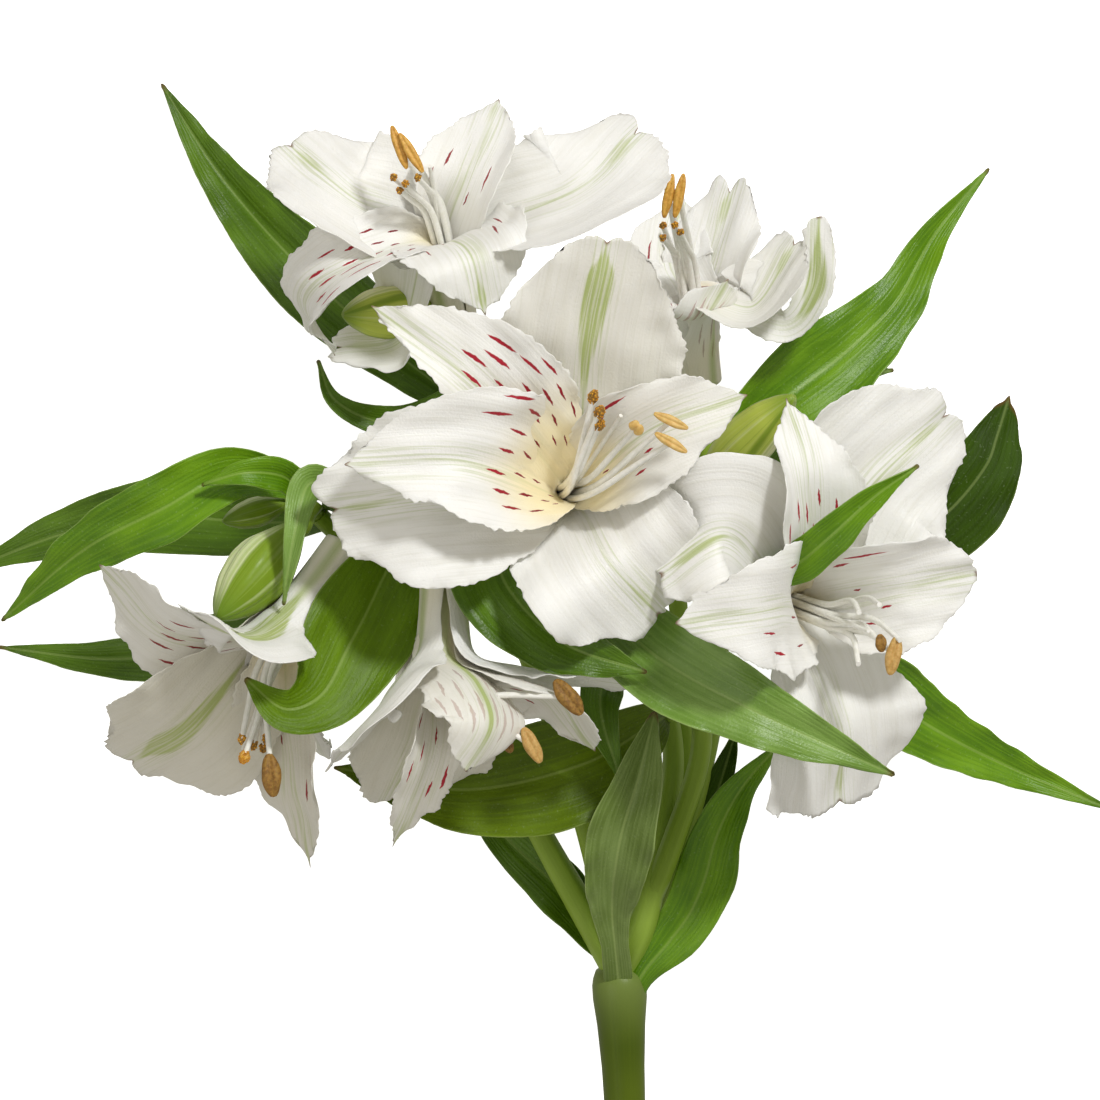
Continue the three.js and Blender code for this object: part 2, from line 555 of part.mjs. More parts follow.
// All stalks with the ovaries they carry, drawn thicker by the extra radius when they
// are used to trim a leaf's base.
function stalks(extra) {
  const rayRadii = [RAY_RADIUS + extra, RAY_RADIUS + extra];
  const branchRadii = [BRANCH_RADIUS + extra, BRANCH_RADIUS + extra];
  const pieces = [];
  const carry = (base, axis, path, radii, scale, ribs) => {
    const foot = base.clone().addScaledVector(axis, -(OVARY_LENGTH - 1) * scale);
    const below = base.clone().addScaledVector(axis, -(OVARY_LENGTH + 2) * scale);
    pieces.push(stalk([...path, below.toArray(), foot.toArray()], radii, 6, 5));
    pieces.push(ovary(base, axis, scale * (1 + extra / OVARY_RADIUS), ribs));
  };
  pieces.push(stalk(STEM_PATH, [STEM_RADIUS + extra, STEM_RADIUS + extra], 10, 6));
  const collar = new THREE.SphereGeometry(COLLAR_RADIUS + extra, 9, 5);
  pieces.push(solidFromGeometry(turned(collar, new THREE.Vector3(0, 1, 0), vec(NODE))));
  for (const { to, via } of RAYS) {
    const bloom = BLOOMS[to];
    carry(vec(bloom.base), vec(bloom.facing).normalize(), [collarPoint(via[0]), ...via], rayRadii, 1, 6);
  }
  pieces.push(stalk([collarPoint(LEFT_RAY[0]), ...LEFT_RAY], rayRadii, 6, 6));
  carry(vec(BLOOMS.e.base), vec(BLOOMS.e.facing).normalize(), SIDE_RAY_E, rayRadii, 1, 6);
  for (const { base, tip, radius, stalk: path } of Object.values(BUDS)) {
    carry(vec(base), vec(tip).sub(vec(base)).normalize(), path, branchRadii, 0.3 + 0.08 * radius, 3);
  }
  return Manifold.union(pieces);
}

const group = new THREE.Group();

function add(name, solid, material) {
  const { vertProperties, triVerts } = solid.simplify(0.08).getMesh();
  const geometry = new THREE.BufferGeometry();
  geometry.setAttribute("position", new THREE.BufferAttribute(vertProperties, 3));
  geometry.setIndex(new THREE.BufferAttribute(triVerts, 1));
  const mesh = new THREE.Mesh(geometry, material);
  mesh.name = name;
  group.add(mesh);
}

const aboveTable = (solid) => solid.trimByPlane([0, 0, 1], TABLE);

add("stem", oneBody(aboveTable(stalks(0))), STEM_GREEN);
const clearOfStalks = stalks(SEAT_GAP);
for (const [name, entry] of Object.entries(LEAVES)) {
  add(name, oneBody(aboveTable(leaf(entry).subtract(clearOfStalks))), LEAF_GREEN);
}
for (const [letter, bloom] of Object.entries(BLOOMS)) {
  add(`bloom_${letter}_tepals`, tepals(bloom), TEPAL_WHITE);
  add(`bloom_${letter}_stamens`, stamens(bloom), ANTHER_TAN);
}
for (const [letter, entry] of Object.entries(BUDS)) {
  add(`bud_${letter}`, bud(entry), BUD_GREEN);
}

export default group;
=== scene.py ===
"""An alstroemeria stem in bloom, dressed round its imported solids. Lengths are in millimetres
until a mesh is made, and in metres after that. y runs from the cut end towards the umbel, and
z up from the table."""

import json
import math

import bpy
import numpy as np
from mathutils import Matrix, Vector

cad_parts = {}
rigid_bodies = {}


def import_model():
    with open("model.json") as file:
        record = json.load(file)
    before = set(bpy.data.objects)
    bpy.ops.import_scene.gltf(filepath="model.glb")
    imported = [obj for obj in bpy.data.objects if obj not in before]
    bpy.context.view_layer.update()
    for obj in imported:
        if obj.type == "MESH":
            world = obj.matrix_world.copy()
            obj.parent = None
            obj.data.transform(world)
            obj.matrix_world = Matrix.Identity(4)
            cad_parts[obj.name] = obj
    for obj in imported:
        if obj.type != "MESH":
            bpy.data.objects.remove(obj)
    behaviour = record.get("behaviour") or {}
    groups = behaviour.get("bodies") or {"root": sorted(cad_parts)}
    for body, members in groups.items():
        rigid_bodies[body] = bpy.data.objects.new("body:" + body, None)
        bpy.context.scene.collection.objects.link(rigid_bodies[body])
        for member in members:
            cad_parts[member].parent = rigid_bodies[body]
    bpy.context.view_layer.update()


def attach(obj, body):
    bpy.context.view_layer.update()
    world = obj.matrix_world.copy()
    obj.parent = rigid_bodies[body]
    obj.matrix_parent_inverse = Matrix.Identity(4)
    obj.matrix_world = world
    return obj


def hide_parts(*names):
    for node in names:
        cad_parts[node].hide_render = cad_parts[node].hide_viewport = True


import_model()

MM = 0.001
SEAT_GAP = 0.3  # between a piece and what it grows from
FLOOR_GAP = 0.02
OVARY_RADIUS = 3.1
OVARY_LENGTH = 7
INNER_RING = 2.4  # the ring that the inner tepals' claws stand on
OUTER_RING = 3.4
INNER_FLARE = -0.4  # how far a claw leans out by the top of the throat
OUTER_FLARE = 1.8
RECEPTACLE_TOP = 1.6
FILAMENT_RADIUS = 0.55
UP = np.array([0.0, 0.0, 1.0])

# ---------- the stem's layout, close to the solids ----------
# What forms a blade. half: its half width, or one for each side. base: the half width at its
# foot. claw and widest: the shares of its length where it begins to widen and where it is
# widest. spread, point and taper: its outline before and after that. lobe: how far each
# shoulder stands up. mucro: the length of the spike at its tip. cup, fold and twist: its curl
# and turn along it, and its keel. wave: height, count and phase of its wavy edge. streak:
# start, peak, half width and strength of the green streak. painted_shade: strength of the
# painted shade, a dull warm grey laid over tepals that lie in shadow.
LEAF = dict(
    half=7, base=1.6, claw=0, widest=0.42, spread=1.1, point=0.96, taper=1.4, lobe=(0, 0),
    mucro=0, cup=(0.9, 0.25, 0.2), fold=0.12, twist=(0, 0), wave=(0.5, 1.5, 0))
OUTER = dict(
    half=15, base=3.7, claw=0.22, widest=0.72, spread=1.3, point=0.2, taper=1.7, lobe=(3, 3),
    mucro=1.2, cup=(0.95, 0.75, 0.15), fold=0, twist=(0, 0), wave=(0.9, 1.6, 0.4),
    streak=(0.8, 0.93, 0.8, 0.6), painted_shade=0)
INNER = dict(
    half=9.5, base=2.9, claw=0.22, widest=0.68, spread=1.2, point=0.62, taper=1.7, lobe=(0, 0),
    mucro=1.2, cup=(0.95, 0.8, 0.25), fold=0.05, twist=(0, 0), wave=(0.6, 1.6, 0.9),
    streak=(0.85, 0.96, 0.5, 0.4), painted_shade=0)

NODE = (13, -3, 22)
STEM_PATH = [NODE, (14, -25, 18), (15.5, -70, 10), (15, -115, 5), (13, -153, 3.4)]

BLOOMS = {
    "a": dict(
        base=(1, 82, 45), facing=(0.15, -0.1, 0.98), throat=20, cream=0.72,
        tepals=[
            (OUTER, [(7, 103, 79), (10, 118.5, 87)],
                dict(half=15.8, cup=(0.95, 0.4, 0.05), streak=(0.48, 0.9, 2.4, 0.9), painted_shade=0.3)),
            (INNER, [(-12, 98, 84.5), (-27, 109, 84.5)],
                dict(half=(5.5, 12.5), claw=0.3, point=0.8, widest=0.62, cup=(0.95, 0.5, 0.2), painted_shade=0.06)),
            (OUTER, [(-18, 79, 79), (-33, 77, 76)], dict(half=15.5, lobe=(3, 5))),
            (INNER, [(-13.5, 84.5, 85), (-31, 84, 86)],
                dict(half=(10.8, 14.5), claw=0.3, point=0.75, widest=0.6, twist=(0, 0.05, 0.1))),
            (OUTER, [(11, 68, 75), (18, 60.5, 69)], dict(half=16, lobe=(2, 2.5))),
            (INNER, [(18, 90, 80), (32, 95, 80)], dict(half=9.8, claw=0.3, point=0.7, painted_shade=0.15))],
        stamens=[
            ((8, 95, 84), "lump", None), ((9, 92.5, 85), "lump", None), ((9, 90.5, 83), "lump", None),
            ((15, 90, 86), "disc", (0.3, 0.3, 1)), ((20.5, 91, 87), "fresh", (1, -0.45, 0)),
            ((20.5, 87.5, 87), "fresh", (1, -0.6, 0))],
        style=(12.5, 92, 82)),
    "b": dict(
        base=(-15, 109, 30), facing=(-0.12, 0.72, 0.68), throat=19, cream=0.48,
        tepals=[
            (OUTER, [(-25, 106.5, 39), (-34, 105, 37)], dict(half=9.5, claw=0.3)),
            (INNER, [(-12, 119, 58), (-10, 110.5, 56)],
                dict(half=12, point=0.8, cup=(0.95, 0.4, 0.05), streak=(0.85, 0.95, 0.9, 0.8))),
            (OUTER, [(5, 130, 52), (15, 140, 44)], dict(half=15.5, lobe=(5, 3))),
            (INNER, [(-13, 133, 49), (-8, 146, 40)], dict(half=8.5)),
            (OUTER, [(-33, 130, 50), (-42, 138, 44)], dict(half=13)),
            (INNER, [(-32, 118, 57), (-40, 112, 49), (-36, 104, 40)], dict(half=8.5))],
        stamens=[
            ((-24, 137, 62), "long", (-0.35, 1, 0)), ((-22, 136, 63), "long", (-0.6, 1, 0)),
            ((-25, 132, 62), "crumb", None), ((-23, 131, 61), "crumb", None),
            ((-21, 132, 62), "crumb", None), ((-24, 130, 60), "crumb", None)],
        style=(-19, 134, 60)),
    "c": dict(
        base=(27, 99, 18), facing=(-0.1, 0.9, 0.4), throat=16, cream=0.5,
        tepals=[
            (INNER, [(27.5, 110.5, 31.5), (31, 115.5, 35)],
                dict(half=7.5, base=3.4, claw=0, widest=0.8, point=0.5, cup=(0.95, 0.7, 0.3))),
            (OUTER, [(36, 112, 31), (42.5, 122, 28)],
                dict(half=10, base=4.6, claw=0.1, cup=(0.95, 0.8, 0.4), twist=(0, 0.5), painted_shade=0.1)),
            (INNER, [(42, 109, 27), (46.5, 115, 29), (47.3, 127.5, 30)],
                dict(half=3.2, claw=0.3, widest=0.84, point=0, mucro=0, twist=(0, 1.2, 1.4),
                     streak=(0.6, 0.78, 1.8, 0.9))),
            (OUTER, [(29, 121, 22), (32, 131.5, 19)], dict(half=9.5, lobe=(4, 5))),
            (INNER, [(22, 120, 20), (24, 131, 17)], dict(half=8)),
            (OUTER, [(16, 114, 28), (10, 117, 26)], dict(half=9))],
        stamens=[
            ((21, 130, 46), "long", (0.2, 1, 0.1)), ((22.8, 130, 46.5), "long", (0.2, 1, 0.1)),
            ((20, 125, 47), "crumb", None), ((22, 125, 47), "crumb", None),
            ((20, 123, 46), "crumb", None), ((23, 124, 45), "crumb", None)],
        style=(22, 127, 44)),
    "d": dict(
        base=(30, 65, 38), facing=(0.62, -0.2, 0.75), throat=19,
        tepals=[
            (OUTER, [(54.5, 81, 58), (66.4, 92, 54)],
                dict(half=16.5, claw=0.42, lobe=(3, 4), cup=(0.95, 0.3, 0.1), twist=(0, -0.5, -0.1))),
            (INNER, [(43, 82, 75), (40, 94, 71)], dict(half=(9, 11.5), point=0.85, widest=0.64)),
            (OUTER, [(29, 72.5, 77), (20.5, 67, 74)],
                dict(half=15, cup=(0.95, 0.6, 0.15), streak=(0.72, 0.92, 0.8, 0.8))),
            (INNER, [(39, 61, 74), (33, 60, 81.5), (22.5, 58.5, 81)],
                dict(half=11.5, widest=0.6, point=0.6, cup=(0.95, 0.3, 0.05))),
            (OUTER, [(49, 41, 56), (49.7, 29, 48)],
                dict(half=(17.6, 16.6), widest=0.85, point=0, lobe=(4.5, 2.4), cup=(0.96, 0.4, 0))),
            (INNER, [(58, 64, 67), (71, 66, 60)], dict(half=10.8, claw=0.4, point=0.2))],
        stamens=[
            ((55, 55, 76), "small", (0.1, -1, 0)), ((57, 53, 77), "tawny", (-0.2, -1, 0)),
            ((54.7, 61.3, 77), "bare", None), ((51.5, 51.5, 73), "bare", None),
            ((51.5, 60, 75), "bare", None), ((58, 55.5, 78), "bare", None)],
        style=(53, 57, 76), arch=(1.2, 1.3, 0)),
    "e": dict(
        base=(-33, 71, 56), facing=(-0.5, -0.75, 0.25), throat=18,
        tepals=[
            (OUTER, [(-49, 56, 73), (-57.5, 60, 73.5)],
                dict(half=11, claw=0.4, cup=(0.95, 0.6, 0.3), streak=(0.25, 0.66, 3.6, 0.85))),
            (INNER, [(-61, 56, 65), (-73, 67, 61)],
                dict(half=10.5, cup=(0.95, 0.4, 0.1), twist=(0, 0.5), painted_shade=0.15)),
            (OUTER, [(-59, 41, 56), (-69, 35, 45)],
                dict(half=14, streak=(0.35, 0.82, 2.2, 0.85), painted_shade=0.5)),
            (INNER, [(-42, 34, 54), (-40, 18, 41)],
                dict(half=10, widest=0.58, point=0.9, mucro=2.4, painted_shade=0.45)),
            (OUTER, [(-43, 46, 48), (-40, 37, 36)], dict(half=9)),
            (INNER, [(-39, 50, 47), (-37, 48, 40)], dict(half=4, claw=0.4, cup=(0.95, 0.3, 0.1)))],
        stamens=[
            ((-45, 33, 66), "brown", (0.1, -1, 0)), ((-50, 39, 64), "crumb", None),
            ((-48, 38, 64), "crumb", None), ((-46, 39, 64), "crumb", None),
            ((-49.5, 36, 65), "gold", None), ((-46.5, 37.5, 63), "crumb", None)],
        style=(-50, 37, 61)),
    "f": dict(
        base=(-17, 69, 58), facing=(0.03, -0.97, 0.22), throat=17,
        tepals=[
            (INNER, [(-11, 48, 69), (-8.8, 42, 72), (-12.5, 34.5, 70.5)],
                dict(half=10, cup=(0.95, 0.7, 0.4), point=0.25, widest=0.66,
                     streak=(0.3, 0.7, 0.7, 0.8), painted_shade=0.3)),
            (OUTER, [(-26, 46, 72), (-34, 36, 67)], dict(half=9, painted_shade=0.1)),
            (INNER, [(-19, 37, 65), (-25, 21, 52)], dict(half=5.6, point=0.9, widest=0.6, painted_shade=0.3)),
            (OUTER, [(-20, 41, 53), (-25, 29, 44)], dict(half=13, painted_shade=0.45)),
            (INNER, [(1, 46, 60), (8, 37, 51)], dict(half=8.5, painted_shade=0.25)),
            (OUTER, [(-4, 50.5, 60), (14, 48.5, 57)], dict(half=9))],
        stamens=[
            ((-2, 38, 67), "tawny", (0.5, -1, 0)), ((-6, 38, 63.5), "small", (0.4, -1, 0)),
            ((4, 46, 70), "brown", (0.8, -1, 0)), ((-11, 43, 62), "bare", None),
            ((-8, 44, 62), "bare", None), ((-13, 45, 61), "bare", None)],
        style=(-10, 45, 61)),
}

LEFT_FORK = (-38, 76, 46)
RAYS = {
    "a": [(17, 6, 28), (20.8, 23, 29), (22, 38, 28), (12, 66, 22), (0.5, 80, 29)],
    "b": [(17.5, 8, 22), (23, 24, 23), (24, 41, 22), (10, 74, 14), (-6, 95, 16)],
    "c": [(24, 20, 17), (30, 45, 15), (30, 72, 12)],
    "d": [(22, 20, 32), (27, 38, 34), (24, 54, 27), (23, 64, 27)],
    "f": [(8, 20, 32), (0, 45, 36), (-9, 68, 42), (-14, 80, 50)],
}
LEFT_RAY = [(-1, 22, 28), (-14, 48, 32), (-28, 66, 40), LEFT_FORK]
SIDE_RAY_E = [(-25, 63, 38), (-20, 70, 43), (-21, 78, 49)]

BUDS = {
    "g": dict(base=(-42, 73, 56), tip=(-54, 59, 65), radius=5.6, stalk=[LEFT_FORK, (-40, 78, 52)]),
    "h": dict(base=(-44, 78, 46), tip=(-54, 75, 50), radius=2.6, stalk=[LEFT_FORK, (-41, 78, 45)]),
    "i": dict(base=(28, 82, 33), tip=(42, 96, 50), radius=4.6, stalk=[(30, 68, 13), (27, 76, 22)]),
    "j": dict(base=(-20, 111.5, 34), tip=(-34, 110, 44), radius=4.6,
              stalk=[(-6, 95, 16), (-14, 99, 17)]),
}

LEAVES = {
    "01": ([(-9, 92, 13.5), (-25, 104, 13), (-43, 120, 8), (-57, 136, 2), (-68, 153, 0.3)],
           dict(half=8.5, fold=0.35), "shaded"),
    "02": ([(28, 86, 12), (40, 95, 15), (53, 105, 12), (62, 114, 8), (69, 126, 4), (79, 138, 0.3)],
           dict(half=9.2, taper=0.78, widest=0.36), "bright"),
    "03": ([(31, 68, 13), (53, 68, 20), (68, 75, 20), (77, 85, 18), (79, 90, 16), (81, 96, 14)],
           dict(half=8.5, widest=0.68, point=0.6, mucro=1.5), "deep"),
    "04": ([(29, 76, 40), (34, 72, 50), (37.5, 68, 59), (41, 67.5, 68), (47, 72.5, 75), (54, 79, 78.5),
            (61, 84, 79)], dict(half=3.5, widest=0.66, claw=0.2), "bright"),
    "05": ([(31, 62, 14), (42, 54, 19), (55, 48, 17), (68, 39, 8), (84, 31, 1), (101, 24, 0.3)],
           dict(half=7.2, taper=1.2), "bright"),
    "06": ([(4, 74, 30), (6, 66, 50), (18, 53, 62.5), (36, 43, 69), (58, 33, 66)],
           dict(half=7.8, widest=0.55), "bloomy"),
    "07": ([(-13, 78, 50), (-9, 73, 60), (-6, 64, 66), (3, 55, 66.5), (17, 50, 67.5)],
           dict(half=9), "shaded"),
    "08": ([(16.5, 47, 27), (12, 53, 38), (9.5, 44, 47), (13, 31, 46.5)], dict(half=5), "shaded"),
    "09": ([(20, 41, 21), (20.5, 41.5, 30), (17, 39.5, 37), (7, 34, 41.5), (-13, 29.5, 40.5),
            (-36, 33, 34.5)], dict(half=10, claw=0.12, widest=0.5), "olive"),
    "10": ([(-39.5, 80, 44), (-52, 83, 53.5), (-64, 77, 55), (-78, 70, 47), (-93, 58, 34)],
           dict(half=6), "bright"),
    "11": ([(-36, 75, 45), (-51, 75, 28), (-68, 76, 24), (-84, 73, 17), (-103, 66, 10)],
           dict(half=7), "shaded"),
    "12": ([(-30, 68, 41), (-37, 60, 24), (-58, 53, 12), (-78, 51, 3), (-97, 53, 0.3)],
           dict(half=6.5), "shaded"),
    "13": ([(-22, 76, 48), (-27, 65, 56), (-32, 55, 61.5), (-37, 46, 65.5), (-42.5, 44, 68.5),
            (-49, 49, 71)], dict(half=9.8, widest=0.45), "backlit"),
    "14": ([(-36, 77, 46), (-35, 80, 56), (-39, 81, 65), (-41, 73, 69), (-43, 61, 67)],
           dict(half=3), "bloomy"),
    "15": ([(-10, 99.5, 19), (-26, 92, 29), (-36, 96, 31), (-39, 103, 29)], dict(half=3.2), "shaded"),
    "16": ([(13, -9, 21), (12.8, -4, 25.6), (12.2, 2, 30.5), (11.6, 8.5, 35), (12, 15, 40.5),
            (13.3, 23, 45), (16, 32, 47.5), (18.7, 43, 47)],
           dict(half=6.6, base=2.5, claw=0.24, widest=0.64, spread=1.6, point=0.8,
                wave=(0.9, 1.2, 0), fold=0.35, cup=(-0.9, 0.1, 0.35, 0.3, 0.2)), "grey"),
    "17": ([(14.5, -8, 22.5), (17.4, -2.5, 25), (21.4, 2.5, 27.5), (25, 7.5, 28.5), (27.6, 13.5, 28),
            (29.8, 21, 27), (34, 29, 26), (41, 37, 24)],
           dict(half=5.4, base=2.2, claw=0.08, widest=0.5, wave=(0.9, 1.7, 0),
                cup=(-0.7, 0.2, 0.25, 0.2)), "bright"),
    "18": ([NODE, (10, 2, 22), (3, 11, 22), (-8, 22, 22), (-15, 34, 22)], dict(half=5), "shaded"),
    "19": ([(-40.2, 79, 51.5), (-43.5, 82.5, 56.5), (-50, 83, 60), (-57, 81, 58.5)],
           dict(half=3), "bright"),
    "20": ([(28, 75, 20), (34, 77, 36), (36, 84, 44)], dict(half=3.4), "bright"),
    "21": ([(29, 80, 10), (43, 92, 7), (56, 101, 8), (62, 102, 5)], dict(half=5), "bloomy"),
    "22": ([NODE, (19, 4, 18), (28, 22, 16), (34, 40, 15)], dict(half=5), "deep"),
}
# The way that a leaf's upper face turns at its foot and at its tip, where it isn't straight up.
LEAF_FACES = {
    "08": ((0.3, -0.9, 0.5), UP), "09": ((0.9, 0.2, 0.5), UP), "13": ((0.5, 0.1, 0.85), UP)}


# ---------- paths and blades ----------
def spot(values):
    """A place or a direction, ready for sums."""
    return np.array(values, float)


def unit(v):
    return v / np.linalg.norm(v, axis=-1, keepdims=True)


def smooth(value, low, high):
    """Goes smoothly from 0 to 1 as the value goes from low to high."""
    x = np.clip((value - low) / (high - low), 0, 1)
    return x * x * (3 - 2 * x)


def along(values, t):
    """The value at the share t of a run through evenly spaced values."""
    return np.interp(t, np.linspace(0, 1, len(values)), values)


class Spine:
    """A smooth path through its points, read by the share of its length."""

    def __init__(self, points):
        p = np.array([spot(q) for q in points])
        self.knots = np.vstack([2 * p[0] - p[1], p, 2 * p[-1] - p[-2]])
        self.steps = np.linspace(0, 1, 401)
        run = np.linalg.norm(np.diff(self.at(self.steps), axis=0), axis=1)
        self.run = np.concatenate([[0], np.cumsum(run)])
        self.length = self.run[-1]

    def at(self, t):
        spans = len(self.knots) - 3
        i = np.clip((t * spans).astype(int), 0, spans - 1)
        w = (t * spans - i)[:, None]
        p0, p1, p2, p3 = (self.knots[i + k] for k in range(4))
        d0, d1, d2 = (
            np.sum((b - a) ** 2, axis=1, keepdims=True) ** 0.25 for a, b in ((p0, p1), (p1, p2), (p2, p3)))
        m1 = d1 * ((p1 - p0) / d0 - (p2 - p0) / (d0 + d1) + (p2 - p1) / d1)
        m2 = d1 * ((p2 - p1) / d1 - (p3 - p1) / (d1 + d2) + (p3 - p2) / d2)
        return p1 + m1 * w + (3 * (p2 - p1) - 2 * m1 - m2) * w**2 + (2 * (p1 - p2) + m1 + m2) * w**3

    def place(self, u):
        return self.at(np.interp(u * self.length, self.run, self.steps))

    def way(self, u):
        t = np.interp(u * self.length, self.run, self.steps)
        return unit(self.at(np.clip(t + 1e-3, 0, 1)) - self.at(np.clip(t - 1e-3, 0, 1)))


def outline(form, length, t, v):
    """How far across the blade and along it a point lies, from its shares v and t."""
    base, widest, point = form["base"], form["widest"], form["point"]
    left, right = np.broadcast_to(form["half"], 2)
    half = np.where(v > 0, right, left)
    reach = np.maximum(0, t - form["claw"]) / (widest - form["claw"])
    rise = np.sin(math.pi / 2 * np.clip(reach, 0, 1)) ** form["spread"]
    low = v * (base + (half - base) * rise)
    r = np.clip((t - widest) / (1 - widest), 0, 1)
    wide = (1 - point) * np.sqrt(1 - r * r / 2) + point * (1 - r ** form["taper"])
    high = r * ((1 - point) * np.sqrt(1 - v * v / 2) + point)
    a = np.abs(v)
    lobes = np.where(v > 0, form["lobe"][1], form["lobe"][0]) * r**3 * 4 * a * (1 - a)
    spike = form["mucro"] * r**4 * np.exp(-((a / 0.2) ** 2))
    up = widest * length + (1 - widest) * length * high + lobes + spike
    over = t > widest
    return np.where(over, v * np.maximum(half * wide, 0.35), low), np.where(over, up, t * length)


def ripples(seed, x, y, lengths, count=5):
    """A smooth random field from -1 to 1 over x and y, with waves of the given lengths."""
    draw = np.random.default_rng(seed)
    field = np.zeros_like(x)
    for _ in range(count):
        wave = draw.uniform(*lengths)
        turn, phase = draw.uniform(0, 2 * math.pi, 2)
        field += np.sin(2 * math.pi * (x * math.cos(turn) + y * math.sin(turn)) / wave + phase)
    return field / math.sqrt(count)


def sheet_mesh(name, grid, half_thick, lay, share):
    """A closed sheet from a grid of points. Its finish reads lay, the millimetres across and
    along it, and share, the same as shares with 1 on its front and -1 on its back."""
    rows, cols = grid.shape[0] - 1, grid.shape[1] - 1
    forward = np.gradient(grid, axis=0)
    across = np.gradient(grid, axis=1)
    normal = unit(np.cross(across, forward))
    grid[..., 2] = np.maximum(grid[..., 2], half_thick + FLOOR_GAP)
    upper = grid + normal * half_thick[..., None]
    lower = grid - normal * half_thick[..., None]
    count = (rows + 1) * (cols + 1)
    index = np.arange(count).reshape(rows + 1, cols + 1)
    a, b, c, d = index[:-1, :-1], index[:-1, 1:], index[1:, 1:], index[1:, :-1]
    top = np.stack([a, b, c, d], -1).reshape(-1, 4)
    bottom = top[:, ::-1] + count
    ring = np.concatenate([index[0, :-1], index[:-1, -1], index[-1, :0:-1], index[:0:-1, 0]])
    after = np.roll(ring, -1)
    wall = np.stack([after, ring, ring + count, after + count], -1)
    points = np.concatenate([upper.reshape(-1, 3), lower.reshape(-1, 3)]) * MM
    mesh = mesh_from(name, points, np.concatenate([top, bottom, wall]))
    keep(mesh, "lay", np.tile(lay.reshape(-1, 3), (2, 1)))
    both = np.tile(share.reshape(-1, 3), (2, 1))
    both[:, 2] = np.concatenate([np.ones(count), -np.ones(count)])
    keep(mesh, "share", both)
    return mesh


def mesh_from(name, points, quads):
    """A smooth mesh from its points and four-sided faces."""
    mesh = bpy.data.meshes.new(name)
    mesh.from_pydata([], [], [])
    mesh.vertices.add(len(points))
    mesh.vertices.foreach_set("co", np.asarray(points, np.float32).ravel())
    quads = np.asarray(quads, np.int32)
    mesh.loops.add(quads.size)
    mesh.loops.foreach_set("vertex_index", quads.ravel())
    mesh.polygons.add(len(quads))
    mesh.polygons.foreach_set("loop_start", np.arange(0, quads.size, quads.shape[1], dtype=np.int32))
    mesh.update(calc_edges=True)
    mesh.validate()
    mesh.shade_smooth()
    return mesh


def keep(mesh, name, values):
    """Keeps a vector for each vertex, for the finish to read."""
    mesh.attributes.new(name, "FLOAT_VECTOR", "POINT").data.foreach_set(
        "vector", np.asarray(values, np.float32).ravel())


def put(name, data):
    """A new object in the scene, with its mesh, lamp or lens."""
    made = bpy.data.objects.new(name, data)
    bpy.context.scene.collection.objects.link(made)
    return made


# The lengths of a blade's random waves.
TOOTH_WAVES = (1.1, 1.9)
SLOW_WAVES = (7, 13)
RUFFLE_WAVES = (5, 9)
CREASE_WAVES = (4, 9)
CREASE_STRETCH = 0.35
FEWEST_ROWS, MOST_ROWS = 24, 130
FEWEST_COLS, MOST_COLS = 5, 20
TIPWARD_ROWS = 0.9  # below 1, rows lie closer towards the tip
EDGEWARD_COLS = 1.35  # above 0, columns lie closer towards the edges
MARGIN = 0.86
TIP_MARGIN = 0.97
MIDRIB_HALF = 0.9
EDGE_THINNING = 0.72


